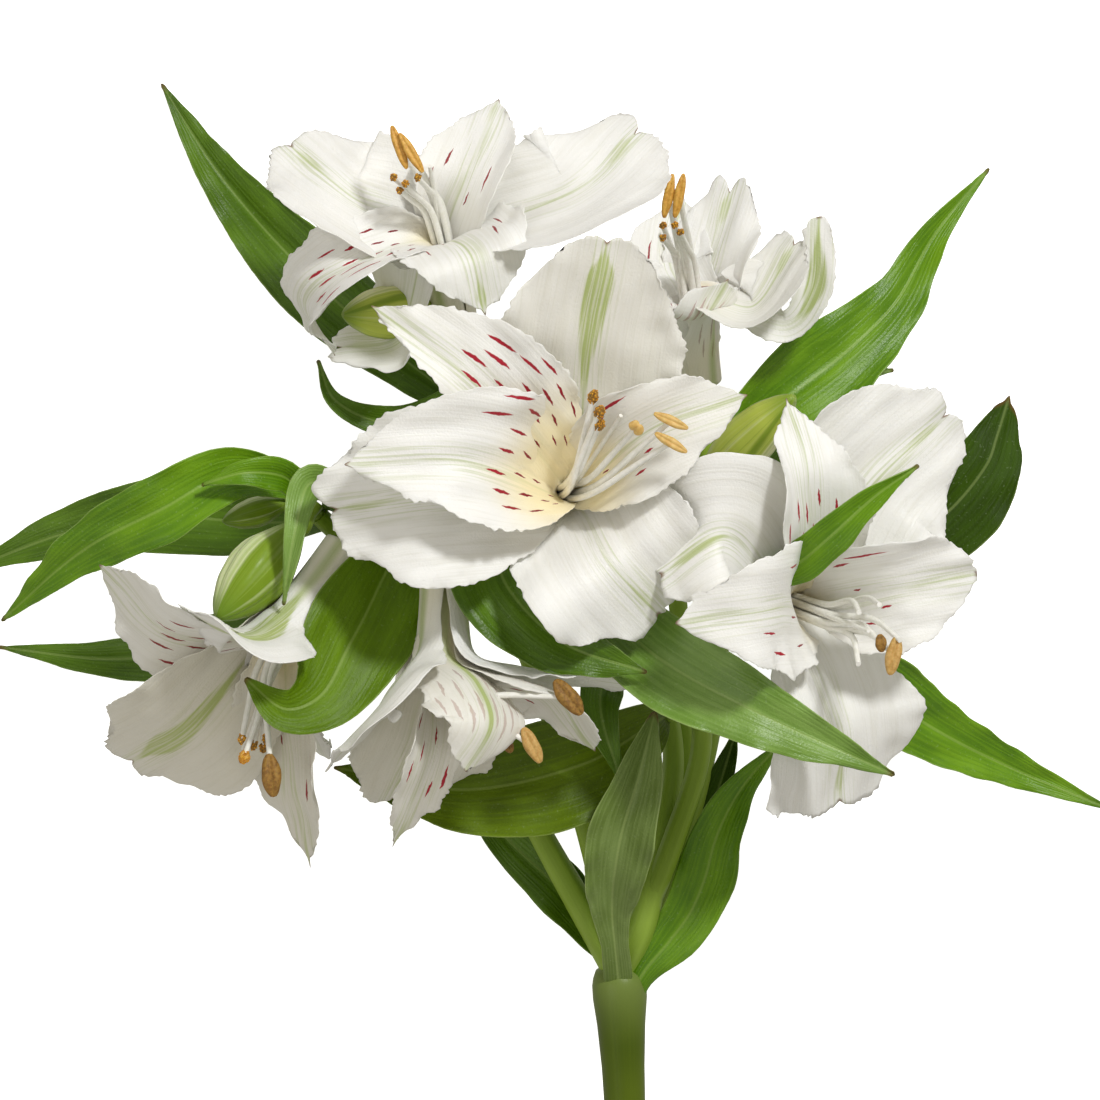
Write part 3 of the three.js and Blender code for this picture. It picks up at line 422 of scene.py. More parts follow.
def blade(name, points, form, sideways, detail):
    """A leaf or tepal: its outline laid along its spine, cupped, waved and rippled."""
    spine = Spine(points)
    rows = int(np.clip(spine.length / detail["row"], FEWEST_ROWS, MOST_ROWS))
    cols = 2 * int(np.clip(np.max(form["half"]) / detail["col"], FEWEST_COLS, MOST_COLS))
    t = np.linspace(0, 1, rows + 1)[:, None] ** TIPWARD_ROWS
    v = np.sin(np.linspace(-1, 1, cols + 1) * EDGEWARD_COLS) / math.sin(EDGEWARD_COLS)
    t, v = (x.copy() for x in np.broadcast_arrays(t, v[None, :]))
    across, up = outline(form, spine.length, t, v)
    a = np.abs(v)
    blunt = form["point"] < 0.5
    margin = np.maximum(smooth(a, MARGIN, 1), smooth(t, TIP_MARGIN, 1) * blunt)
    teeth = ripples(detail["seed"], across, up, TOOTH_WAVES, 6) * detail["teeth"]
    slow = ripples(detail["seed"] + 1, across, up, SLOW_WAVES, 4) * detail["slow"]
    open_part = smooth(t, form["claw"], form["claw"] + 0.2)
    across = across + np.sign(v) * margin * (teeth + slow) * open_part
    up = up + smooth(t, 0.9, 1) * margin * (teeth + slow)
    u = np.minimum(up / spine.length, 1)
    flat = u.ravel()
    tangent = spine.way(flat)
    centre = spine.place(flat) + tangent * np.maximum(0, up.ravel() - spine.length)[:, None]
    side = sideways(flat, tangent)
    side = unit(side - tangent * np.sum(side * tangent, axis=1, keepdims=True))
    turn = along(form["twist"], flat)[:, None]
    side = side * np.cos(turn) + np.cross(tangent, side) * np.sin(turn)
    face = np.cross(side, tangent)
    fold = form["fold"] * np.minimum(1, t * 4)
    bend = along(form["cup"], t) + 1e-6
    reach = np.abs(across) / np.maximum(a, 1e-6)
    out = reach / bend * (np.sin(fold + bend * a) - np.sin(fold))
    rise = reach / bend * (np.cos(fold) - np.cos(fold + bend * a))
    height, count, phase = form["wave"]
    rise = rise + height * a**2.5 * np.sin(t * 0.9) * np.sin(
        2 * math.pi * count * t + phase + np.where(v > 0, 2.1, 0))
    ruffles = ripples(detail["seed"] + 2, across, up, RUFFLE_WAVES)
    creases = ripples(detail["seed"] + 3, across, up * CREASE_STRETCH, CREASE_WAVES)
    pleats = np.cos(2 * math.pi * across / detail["pitch"])
    rise = rise + open_part * (
        detail["ruffle"] * a**3 * ruffles + detail["crease"] * creases
        + detail["pleat"] * pleats * (1 - a**4))
    rise = rise - detail["midrib"] * np.exp(-((across / MIDRIB_HALF) ** 2)) * open_part
    side_way = (np.sign(v) * np.where(a < 1e-6, 0, out)).ravel()[:, None]
    grid = centre + side * side_way + face * rise.ravel()[:, None]
    thick = detail["thick"] / 2 * (1 - EDGE_THINNING * np.maximum(a**5, smooth(t, 0.93, 1)))
    lay = np.stack([across, up, np.zeros_like(up)], -1)
    share = np.stack([v, t, np.zeros_like(up)], -1)
    return sheet_mesh(name, grid.reshape(rows + 1, cols + 1, 3), thick, lay, share), spine.length


# ---------- finishes ----------
def paint(red, green, blue):
    """A colour given from 0 to 255 as it looks on a screen."""
    return tuple(
        x / 12.92 if x <= 0.04045 else ((x + 0.055) / 1.055) ** 2.4
        for x in (red / 255, green / 255, blue / 255))


class Finish:
    """A procedural material under construction."""

    def __init__(self, name, roughness=0.5, **sockets):
        self.material = bpy.data.materials.new(name)
        self.material.use_nodes = True
        self.tree = self.material.node_tree
        self.shader = self.tree.nodes["Principled BSDF"]
        self.set("Roughness", roughness)
        for socket, value in sockets.items():
            self.set(socket.replace("_", " "), value)

    def set(self, socket, value):
        self.feed(self.shader.inputs[socket], value)

    def feed(self, socket, value):
        if isinstance(value, bpy.types.NodeSocket):
            self.tree.links.new(value, socket)
        elif socket.type == "RGBA" and len(value) == 3:
            socket.default_value = (*value, 1)
        else:
            socket.default_value = value

    def node(self, kind, **settings):
        made = self.tree.nodes.new("ShaderNode" + kind)
        for name, value in settings.items():
            setattr(made, name, value)
        return made

    def read(self, name):
        return self.node("Attribute", attribute_name=name).outputs["Vector"]

    def split(self, vector):
        made = self.node("SeparateXYZ")
        self.feed(made.inputs[0], vector)
        return made.outputs

    def maths(self, operation, a, b=0.0):
        made = self.node("Math", operation=operation)
        self.feed(made.inputs[0], a)
        self.feed(made.inputs[1], b)
        return made.outputs[0]

    def plus(self, a, b):
        return self.maths("ADD", a, b)

    def minus(self, a, b):
        return self.maths("SUBTRACT", a, b)

    def times(self, a, b):
        return self.maths("MULTIPLY", a, b)

    def least(self, a, b):
        return self.maths("MINIMUM", a, b)

    def size(self, a):
        return self.maths("ABSOLUTE", a)

    def vector(self, operation, a, b):
        made = self.node("VectorMath", operation=operation)
        self.feed(made.inputs[0], a)
        self.feed(made.inputs[1], b)
        return made.outputs["Vector"]

    def ease(self, value, low, high, to_low=0.0, to_high=1.0):
        """Runs smoothly from to_low to to_high as the value goes from low to high."""
        made = self.node("MapRange", interpolation_type="SMOOTHSTEP")
        for socket, x in zip(made.inputs, (value, low, high, to_low, to_high)):
            self.feed(socket, x)
        return made.outputs[0]

    def noise(self, vector, scale, detail=2.0, rough=0.5):
        made = self.node("TexNoise")
        self.feed(made.inputs["Vector"], vector)
        self.feed(made.inputs["Scale"], scale)
        self.feed(made.inputs["Detail"], detail)
        self.feed(made.inputs["Roughness"], rough)
        return made.outputs["Fac"]

    def drawn_out(self, vector, stretch, detail=2.0, shift=(0, 0, 0)):
        """Noise drawn out more along one direction than along another."""
        return self.noise(self.vector("ADD", self.vector("MULTIPLY", vector, stretch), shift), 1.0, detail)

    def blend(self, amount, a, b):
        made = self.node("Mix", data_type="RGBA")
        self.feed(made.inputs[0], amount)
        self.feed(made.inputs[6], a)
        self.feed(made.inputs[7], b)
        return made.outputs[2]

    def bump(self, height, distance, strength=1.0, below=None):
        made = self.node("Bump")
        self.feed(made.inputs["Height"], height)
        self.feed(made.inputs["Distance"], distance)
        self.feed(made.inputs["Strength"], strength)
        if below is not None:
            self.feed(made.inputs["Normal"], below)
        return made.outputs[0]

    def place(self):
        return self.node("TexCoord").outputs["Object"]


PETAL = paint(245, 244, 240)
PETAL_VEIN = paint(226, 224, 214)
# A dull warm grey that is painted over tepals as painted shade.
PETAL_PAINTED_SHADE = paint(190, 182, 152)
CREAM = paint(245, 231, 190)
COLLAR_GREEN = paint(122, 140, 70)
STRIPE_RED = paint(172, 28, 48)
STRIPE_DARK = paint(110, 24, 30)
STRIPE_BROWN = paint(150, 50, 56)
STRIPE_MAUVE = paint(156, 108, 96)
TIP_GREEN = paint(158, 176, 66)
BACK_GREEN = paint(176, 190, 128)
TIP_BROWN = paint(112, 70, 46)
LEAF_MARGIN = paint(190, 208, 130)
LEAF_WAX = paint(190, 205, 170)
LEAF_DRY_TIP = paint(104, 72, 36)
BUD_LINE = paint(146, 172, 66)
BUD_RIB = paint(124, 152, 34)
BUD_TIP = paint(112, 146, 36)
BUD_FOOT = paint(132, 160, 60)

# How fine each grain is, in cells to the metre.
PETAL_GRAIN = 2600.0
LEAF_GRAIN = 2300.0
LEAF_SPECKS = 1900.0
STALK_GRAIN = 2000.0
STALK_PATCHES = 30.0
BUD_GRAIN = 1900.0
STRIPE_WOBBLE = 0.9  # cells to the millimetre
WOBBLE_REACH = (0.5, 0.5, 0)


def stripe_gap(f, place, stripe):
    """A value that is under 1 inside a stripe that narrows to a point at both of its ends."""
    x, y, lean, length, wide = stripe
    made = f.node("Mapping", vector_type="TEXTURE")
    f.feed(made.inputs["Vector"], place)
    made.inputs["Location"].default_value = (x, y, 0)
    made.inputs["Rotation"].default_value = (0, 0, lean)
    made.inputs["Scale"].default_value = (wide / 2, length / 2, 1)
    sideways, lengthways, _ = f.split(made.outputs[0])
    return f.plus(f.size(sideways), f.times(lengthways, lengthways))


def all_stripes(f, lay, stripes):
    """The smallest gap to any of the stripes, whose edges wobble a little."""
    wobble = f.node("TexNoise")
    f.feed(wobble.inputs["Vector"], lay)
    f.feed(wobble.inputs["Scale"], STRIPE_WOBBLE)
    shake = f.vector("SUBTRACT", wobble.outputs["Color"], (0.5, 0.5, 0.5))
    shaken = f.vector("ADD", lay, f.vector("MULTIPLY", shake, WOBBLE_REACH))
    gap = stripe_gap(f, shaken, stripes[0])
    for stripe in stripes[1:]:
        gap = f.least(gap, stripe_gap(f, shaken, stripe))
    return gap


def tepal_finish(name, stripes, stripe_colour, throat, streak, painted_shade, seed):
    """White tepal: faint lengthwise veins, a cream throat, a green streak, pointed stripes and painted
    shade.
    """
    f = Finish(
        name, 0.5, Subsurface_Weight=0.25, Subsurface_Scale=0.0012, Subsurface_Radius=(1, 0.95, 0.85),
        Specular_IOR_Level=0.3, Sheen_Weight=0.08, Sheen_Roughness=0.4)
    lay = f.read("lay")
    across, _, _ = f.split(lay)
    v, t, face = f.split(f.read("share"))
    off_middle = f.size(across)
    front = f.ease(face, -0.3, 0.3)
    broad = f.drawn_out(lay, (0.5, 0.04, 0), shift=(seed, 0, 0))
    veins = f.drawn_out(lay, (2.4, 0.06, 0), shift=(0, seed, 0))
    colour = f.blend(f.ease(broad, 0.45, 0.75, 0, 0.4), PETAL, PETAL_VEIN)
    colour = f.blend(f.ease(veins, 0.52, 0.66, 0, 0.28), colour, PETAL_VEIN)
    # Painted shade: a dull warm grey laid over the whole tepal, a little stronger towards its foot.
    colour = f.blend(f.ease(t, 1.0, 0.3, 0.8 * painted_shade, painted_shade), colour, PETAL_PAINTED_SHADE)
    reach = f.plus(t, f.times(f.size(v), 0.1))
    deep = f.times(f.ease(reach, throat, throat - 0.24), f.ease(broad, 0.2, 0.6, 0.8, 1))
    colour = f.blend(f.times(deep, f.ease(front, 0, 1, 0.4, 1)), colour, CREAM)

    start, peak, half_wide, strength = streak
    lens = f.least(f.ease(t, start, peak), f.ease(t, 1.0, peak))
    inside = f.minus(f.times(lens, half_wide), off_middle)
    inside = f.plus(inside, f.times(f.minus(veins, 0.5), 0.8))
    streaked = f.times(f.ease(inside, -0.35, 0.4, 0, strength), f.ease(front, 0, 1, 1, 0.85))
    streaked = f.times(streaked, f.ease(veins, 0.4, 0.56, 0.5, 1))
    colour = f.blend(streaked, colour, TIP_GREEN)
    middle = f.times(f.ease(off_middle, 0.5, 0.1, 0, 0.15), f.ease(t, 0.3, 0.6))
    colour = f.blend(middle, colour, BACK_GREEN)
    around_middle = f.times(f.ease(off_middle, 4.6, 0.8, 0, 0.4), f.ease(veins, 0.47, 0.62))
    colour = f.blend(f.times(around_middle, f.ease(t, 0.35, 0.75)), colour, BACK_GREEN)
    rib = f.ease(off_middle, 1.5, 0.2, 0, 0.7)
    behind = f.times(f.times(rib, f.ease(t, 0.95, 0.2, 0.35, 1)), f.ease(front, 0, 1, 1, 0.05))
    colour = f.blend(behind, colour, BACK_GREEN)
    mucro = f.times(f.ease(t, 0.988, 1), f.ease(off_middle, 0.7, 0.3, 0, 0.9))
    colour = f.blend(mucro, colour, TIP_BROWN)
    if stripes:
        mark = f.times(f.ease(all_stripes(f, lay, stripes), 1.1, 0.75), f.ease(front, 0, 1, 0.45, 1))
        darker_down = f.blend(f.ease(t, 0.66, 0.46, 0, 0.7), stripe_colour, STRIPE_DARK)
        colour = f.blend(mark, colour, darker_down)
    f.set("Base Color", colour)
    relief = f.bump(broad, 0.24 * MM, 0.6)
    relief = f.bump(veins, 0.14 * MM, 0.6, relief)
    grain = f.noise(f.place(), PETAL_GRAIN, 2.0)
    f.set("Normal", f.bump(grain, 0.1 * MM, 0.7, relief))
    return f.material


# Each leaf tone: its dark green, its light green, its roughness and its shine.
LEAF_TONES = {
    "bright": (paint(80, 124, 0), paint(114, 158, 12), 0.36, 0.36),
    "deep": (paint(42, 64, 0), paint(56, 84, 2), 0.5, 0.12),
    "olive": (paint(76, 98, 0), paint(100, 126, 0), 0.45, 0.2),
    "shaded": (paint(66, 98, 2), paint(90, 126, 12), 0.38, 0.35),
    "bloomy": (paint(98, 134, 40), paint(130, 164, 76), 0.36, 0.5),
    "backlit": (paint(84, 114, 0), paint(102, 136, 2), 0.45, 0.25),
    "grey": (paint(96, 118, 46), paint(128, 150, 82), 0.45, 0.35),
}


def leaf_finish(tone):
    """Leaf blade: faint parallel veins, a paler margin and midrib, and fine waxy specks."""
    dark, light, roughness, shine = LEAF_TONES[tone]
    f = Finish(f"leaf_{tone}", roughness, Specular_IOR_Level=shine)
    lay = f.read("lay")
    across, _, _ = f.split(lay)
    v, t, face = f.split(f.read("share"))
    off_middle = f.size(across)
    front = f.ease(face, -0.3, 0.3)
    fine = f.drawn_out(lay, (4.5, 0.04, 0))
    patch = f.drawn_out(lay, (0.12, 0.05, 0), 3.0)
    drift = f.drawn_out(lay, (0.5, 0.01, 0))
    veins = f.maths("SINE", f.plus(f.times(v, 34.0), f.times(drift, 22.0)))
    colour = f.blend(f.ease(patch, 0.35, 0.65), dark, light)
    colour = f.blend(f.ease(veins, 0.2, 0.95, 0, 0.4), colour, light)
    colour = f.blend(f.ease(veins, -0.6, -1.0, 0, 0.35), colour, dark)
    colour = f.blend(f.ease(fine, 0.5, 0.7, 0, 0.3), colour, dark)
    pale = tuple(0.6 * x + 0.4 * y for x, y in zip(light, LEAF_MARGIN))
    colour = f.blend(f.ease(f.size(v), 0.965, 0.998, 0, 0.6), colour, pale)
    colour = f.blend(f.ease(off_middle, 0.4, 0.08, 0, 0.45), colour, pale)
    waxy = tuple(0.55 * x + 0.45 * y for x, y in zip(light, LEAF_WAX))
    colour = f.blend(f.ease(front, 0, 1, 0.35, 0.0), colour, waxy)
    speck = f.noise(f.place(), LEAF_SPECKS, 1.0)
    colour = f.blend(f.ease(speck, 0.66, 0.76, 0, 0.22), colour, waxy)
    tip = f.times(f.ease(t, 0.975, 1.0), 0.8)
    f.set("Base Color", f.blend(tip, colour, LEAF_DRY_TIP))
    f.set("Roughness", f.ease(patch, 0.3, 0.7, roughness - 0.04, roughness + 0.1))
    relief = f.bump(veins, 0.035 * MM, 0.5)
    relief = f.bump(fine, 0.08 * MM, 0.6, relief)
    f.set("Normal", f.bump(f.noise(f.place(), LEAF_GRAIN, 2.0), 0.1 * MM, 0.8, relief))
    return f.material


def stalk_finish(name, dark, light, collar=0):
    """Green stalk: fine lengthwise lines and soft patches. collar is how far it turns paler
    towards the node."""
    f = Finish(name, 0.42, Specular_IOR_Level=0.25)
    around = f.read("around")
    lines = f.drawn_out(around, (7, 7, 0.02), 3.0)
    patch = f.noise(f.place(), STALK_PATCHES, 3.0)
    colour = f.blend(f.ease(patch, 0.35, 0.65), dark, light)
    colour = f.blend(f.ease(lines, 0.45, 0.7, 0, 0.3), colour, light)
    _, y, _ = f.split(f.place())
    near_node = f.ease(y, (NODE[1] - 14) * MM, (NODE[1] + 1) * MM, 0, collar)
    f.set("Base Color", f.blend(near_node, colour, COLLAR_GREEN))
    relief = f.bump(lines, 0.08 * MM, 0.5)
    f.set("Normal", f.bump(f.noise(f.place(), STALK_GRAIN, 2.0), 0.04 * MM, 0.5, relief))
    return f.material


def plain_finish(name, colours, scale, roughness, relief, subsurface=0.1):
    """A small part's finish: two colours in a grain of the given scale, with relief."""
    f = Finish(name, roughness, Subsurface_Weight=subsurface, Subsurface_Scale=0.0008)
    grain = f.noise(f.place(), scale, 3.0, 0.6)
    f.set("Base Color", f.blend(f.ease(grain, 0.35, 0.68), *colours))
    f.set("Normal", f.bump(grain, relief * MM, 0.8))
    return f.material


def bud_finish(name, dark, pale):
    """Closed bud: dark and pale stripes down its length, green ribs, and green at both ends."""
    f = Finish(name, 0.4, Subsurface_Weight=0.15, Subsurface_Scale=0.001,
               Subsurface_Radius=(0.6, 1, 0.3), Specular_IOR_Level=0.35)
    _, t, rib = f.split(f.read("share"))
    around = f.read("around")
    streaks = f.drawn_out(around, (1.6, 1.6, 0.4))
    fine = f.drawn_out(around, (9, 9, 0.4))
    colour = f.blend(f.ease(streaks, 0.46, 0.6), dark, pale)
    colour = f.blend(f.ease(fine, 0.5, 0.66, 0, 0.4), colour, BUD_LINE)
    colour = f.blend(f.ease(rib, 0.2, 0.9, 0, 0.8), colour, BUD_RIB)
    colour = f.blend(f.ease(t, 0.76, 1.0, 0, 0.75), colour, BUD_TIP)
    colour = f.blend(f.ease(t, 0.2, 0.0, 0, 0.7), colour, BUD_FOOT)
    f.set("Base Color", colour)
    relief = f.bump(fine, 0.1 * MM, 0.6)
    f.set("Normal", f.bump(f.noise(f.place(), BUD_GRAIN, 2.0), 0.04 * MM, 0.5, relief))
    return f.material


# The rays' green is painted lighter than the stem's green, as painted light on rays that lie in shade under
# the blooms and leaves.
RAY_GREEN_PAINTED_LIGHT = stalk_finish("ray_green_painted_light", paint(122, 150, 36), paint(150, 178, 70))
STEM_GREEN = stalk_finish("stem_green", paint(64, 82, 0), paint(86, 104, 10), 0.75)
FILAMENT_WHITE = plain_finish(
    "filament_white", (paint(246, 245, 240), paint(238, 237, 228)), 900.0, 0.35, 0.01, 0)
ANTHER_TAN = plain_finish("anther_tan", (paint(222, 188, 116), paint(206, 166, 88)), 1500.0, 0.55, 0.03)
ANTHER_GOLDEN = plain_finish("anther_golden", (paint(222, 174, 80), paint(194, 140, 48)), 1500.0, 0.5, 0.04)
ANTHER_TAWNY = plain_finish("anther_tawny", (paint(206, 168, 100), paint(184, 142, 72)), 1500.0, 0.6, 0.04)
ANTHER_BROWN = plain_finish("anther_brown", (paint(158, 118, 48), paint(120, 84, 28)), 1600.0, 0.65, 0.06)
POLLEN_GOLD = plain_finish("pollen_gold", (paint(222, 164, 50), paint(186, 120, 26)), 1200.0, 0.8, 0.08)
BUD_GREEN = bud_finish("bud_green", paint(118, 146, 24), paint(212, 222, 170))
# Buds i and j: their own yellower green, made paler still as painted light where the tepals and leaves
# around them shade them.
BUD_YELLOW_PAINTED_LIGHT = bud_finish("bud_yellow_painted_light", paint(196, 210, 88), paint(234, 236, 180))


# ---------- trees for what follows a path or a surface ----------
class Tree:
    """A geometry tree with named inputs, ending in Realize Instances and Set Material."""

    def __init__(self, name, inputs):
        self.group = bpy.data.node_groups.new(name, "GeometryNodeTree")
        sockets = self.group.interface
        sockets.new_socket("Geometry", in_out="INPUT", socket_type="NodeSocketGeometry")
        self.ids = {}
        for label, kind in inputs.items():
            socket = sockets.new_socket(label, in_out="INPUT", socket_type="NodeSocket" + kind)
            self.ids[label] = socket.identifier
        sockets.new_socket("Geometry", in_out="OUTPUT", socket_type="NodeSocketGeometry")
        self.given = self.group.nodes.new("NodeGroupInput").outputs

    def node(self, kind, feeds=(), **settings):
        made = self.group.nodes.new(kind)
        for name, value in settings.items():
            setattr(made, name, value)
        for socket, value in dict(feeds).items():
            if isinstance(value, bpy.types.NodeSocket):
                self.group.links.new(value, made.inputs[socket])
            else:
                made.inputs[socket].default_value = value
        return made

    def maths(self, operation, a, b=0.0):
        return self.node("ShaderNodeMath", {0: a, 1: b}, operation=operation).outputs[0]

    def end(self, geometry):
        whole = self.node("GeometryNodeRealizeInstances", {"Geometry": geometry})
        painted = self.node("GeometryNodeSetMaterial", {
            "Geometry": whole.outputs[0], "Material": self.given["Material"]})
        out = self.group.nodes.new("NodeGroupOutput")
        self.group.links.new(painted.outputs[0], out.inputs[0])

    def grow(self, name, mesh, values):
        """The plain mesh that the tree makes of a mesh with the given inputs."""
        carrier = put(name + "_carrier", mesh)
        modifier = carrier.modifiers.new("grow", "NODES")
        modifier.node_group = self.group
        for label, value in values.items():
            modifier[self.ids[label]] = value
        bpy.context.view_layer.update()
        graph = bpy.context.evaluated_depsgraph_get()
        made = bpy.data.meshes.new_from_object(
            carrier.evaluated_get(graph), preserve_all_data_layers=True, depsgraph=graph)
        bpy.data.objects.remove(carrier)
        made.name = name
        return made


def sweep_tree():
    """Sweeps a ridged round section along each line, as thick as the line's points say."""
    tree = Tree("sweep", {
        "Sides": "Int", "Ridges": "Int", "Ridge depth": "Float", "Material": "Material"})
    curve = tree.node("GeometryNodeMeshToCurve", {"Mesh": tree.given["Geometry"]})
    thick = tree.node("GeometryNodeInputNamedAttribute", {"Name": "thick"}, data_type="FLOAT")
    ring = tree.node("GeometryNodeCurvePrimitiveCircle", {"Resolution": tree.given["Sides"], "Radius": 1.0})
    here = tree.node("GeometryNodeInputPosition").outputs[0]
    ring = tree.node("GeometryNodeStoreNamedAttribute", {
        "Geometry": ring.outputs[0], "Name": "around", "Value": here}, data_type="FLOAT_VECTOR")
    number = tree.node("GeometryNodeInputIndex").outputs[0]
    share = tree.maths("DIVIDE", number, tree.given["Sides"])
    angle = tree.maths("MULTIPLY", tree.maths("MULTIPLY", share, tree.given["Ridges"]), 2 * math.pi)
    depth = tree.maths("MULTIPLY", tree.maths("COSINE", angle), tree.given["Ridge depth"])
    offset = tree.node("ShaderNodeVectorMath", {0: here, "Scale": depth}, operation="SCALE")
    ring = tree.node("GeometryNodeSetPosition", {"Geometry": ring.outputs[0], "Offset": offset.outputs[0]})
    swept = tree.node("GeometryNodeCurveToMesh", {
        "Curve": curve.outputs[0], "Profile Curve": ring.outputs[0], "Scale": thick.outputs[0],
        "Fill Caps": True})
    soft = tree.node("GeometryNodeSetShadeSmooth", {"Geometry": swept.outputs[0], "Shade Smooth": True})
    tree.end(soft.outputs[0])
    return tree


SMALLEST_GRAIN = 0.6
LARGEST_GRAIN = 1.25


def pollen_tree():
    """Scatters small grains over a surface."""
    tree = Tree("pollen", {
        "Density": "Float", "Grain radius": "Float", "Seed": "Int", "Material": "Material"})
    spots = tree.node("GeometryNodeDistributePointsOnFaces", {
        "Mesh": tree.given["Geometry"], "Density": tree.given["Density"], "Seed": tree.given["Seed"]})
    grain = tree.node("GeometryNodeMeshIcoSphere", {
        "Radius": tree.given["Grain radius"], "Subdivisions": 1})
    least, most = 2, 3  # the sockets for the range of a random number
    size = tree.node("FunctionNodeRandomValue", {
        least: SMALLEST_GRAIN, most: LARGEST_GRAIN, "Seed": tree.given["Seed"]}, data_type="FLOAT")
    grains = tree.node("GeometryNodeInstanceOnPoints", {
        "Points": spots.outputs[0], "Instance": grain.outputs[0], "Scale": size.outputs[1]})
    tree.end(grains.outputs[0])
    return tree


SWEEP = sweep_tree()
POLLEN = pollen_tree()


def lines_mesh(name, lines):
    """A mesh of open lines, each a list of places with a radius at each."""
    points, edges, radii = [], [], []
    for places, thick in lines:
        first = len(points)
        points += [tuple(p * MM) for p in places]
        radii += [r * MM for r in thick]
        edges += [(first + i, first + i + 1) for i in range(len(places) - 1)]
    mesh = bpy.data.meshes.new(name)
    mesh.from_pydata(points, edges, [])
    mesh.attributes.new("thick", "FLOAT", "POINT").data.foreach_set("value", np.array(radii, np.float32))
    return mesh


def line(points, radii, step):
    """A smooth line through the points, its radius running through the list of radii."""
    path = Spine(points)
    u = np.linspace(0, 1, max(4, int(path.length / step)))
    return path.place(u), along(radii, u)


def piece(name, mesh, nodes, finish=None):
    """Puts a finished mesh in the scene as a piece that stands for its nodes."""
    made = put(name, mesh)
    if finish is not None:
        mesh.materials.clear()
        mesh.materials.append(finish)
    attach(made, "root")
    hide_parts(*nodes)


def joined(name, meshes):
    """One mesh of several, with their attributes and materials kept."""
    parts = [put(name, mesh) for mesh in meshes]
    with bpy.context.temp_override(
            active_object=parts[0], selected_editable_objects=parts, selected_objects=parts):
        bpy.ops.object.join()
    mesh = parts[0].data
    bpy.data.objects.remove(parts[0])
    return mesh


# ---------- tepals ----------
def outwards(place, base, axis):
    """The direction from a bloom's axis straight out to a place."""
    reach = spot(place) - base
    return unit(reach - axis * (reach @ axis))


def even_directions(tips, base, axis):
    """Directions evenly round a bloom's axis, turned to lie near the tips."""
    first = unit(UP - axis * (UP @ axis))
    second = np.cross(axis, first)
    step = 2 * math.pi / len(tips)
    total = np.zeros(3)
    for k, tip in enumerate(tips):
        way = outwards(tip, base, axis)
        angle = math.atan2(way @ second, way @ first) - k * step
        total += first * math.cos(angle) + second * math.sin(angle)
    start = math.atan2(total @ second, total @ first)
    return [first * math.cos(start + k * step) + second * math.sin(start + k * step)
            for k in range(len(tips))]


# A blade's fine form: the spacing of its rows and columns, the height of its teeth, slow waves,
# ruffles, creases and pleats, the pitch of the pleats, the depth of its midrib, its thickness.
TEPAL_DETAIL = dict(row=0.5, col=0.8, teeth=0.2, slow=0.35, ruffle=0.45, crease=0.28, pleat=0.05,
                    pitch=3.4, midrib=0.15, thick=0.42)
LEAF_DETAIL = dict(row=0.9, col=0.75, teeth=0.02, slow=0.15, ruffle=0.35, crease=0.25, pleat=0.02,
                   pitch=2.3, midrib=0.32, thick=0.45)

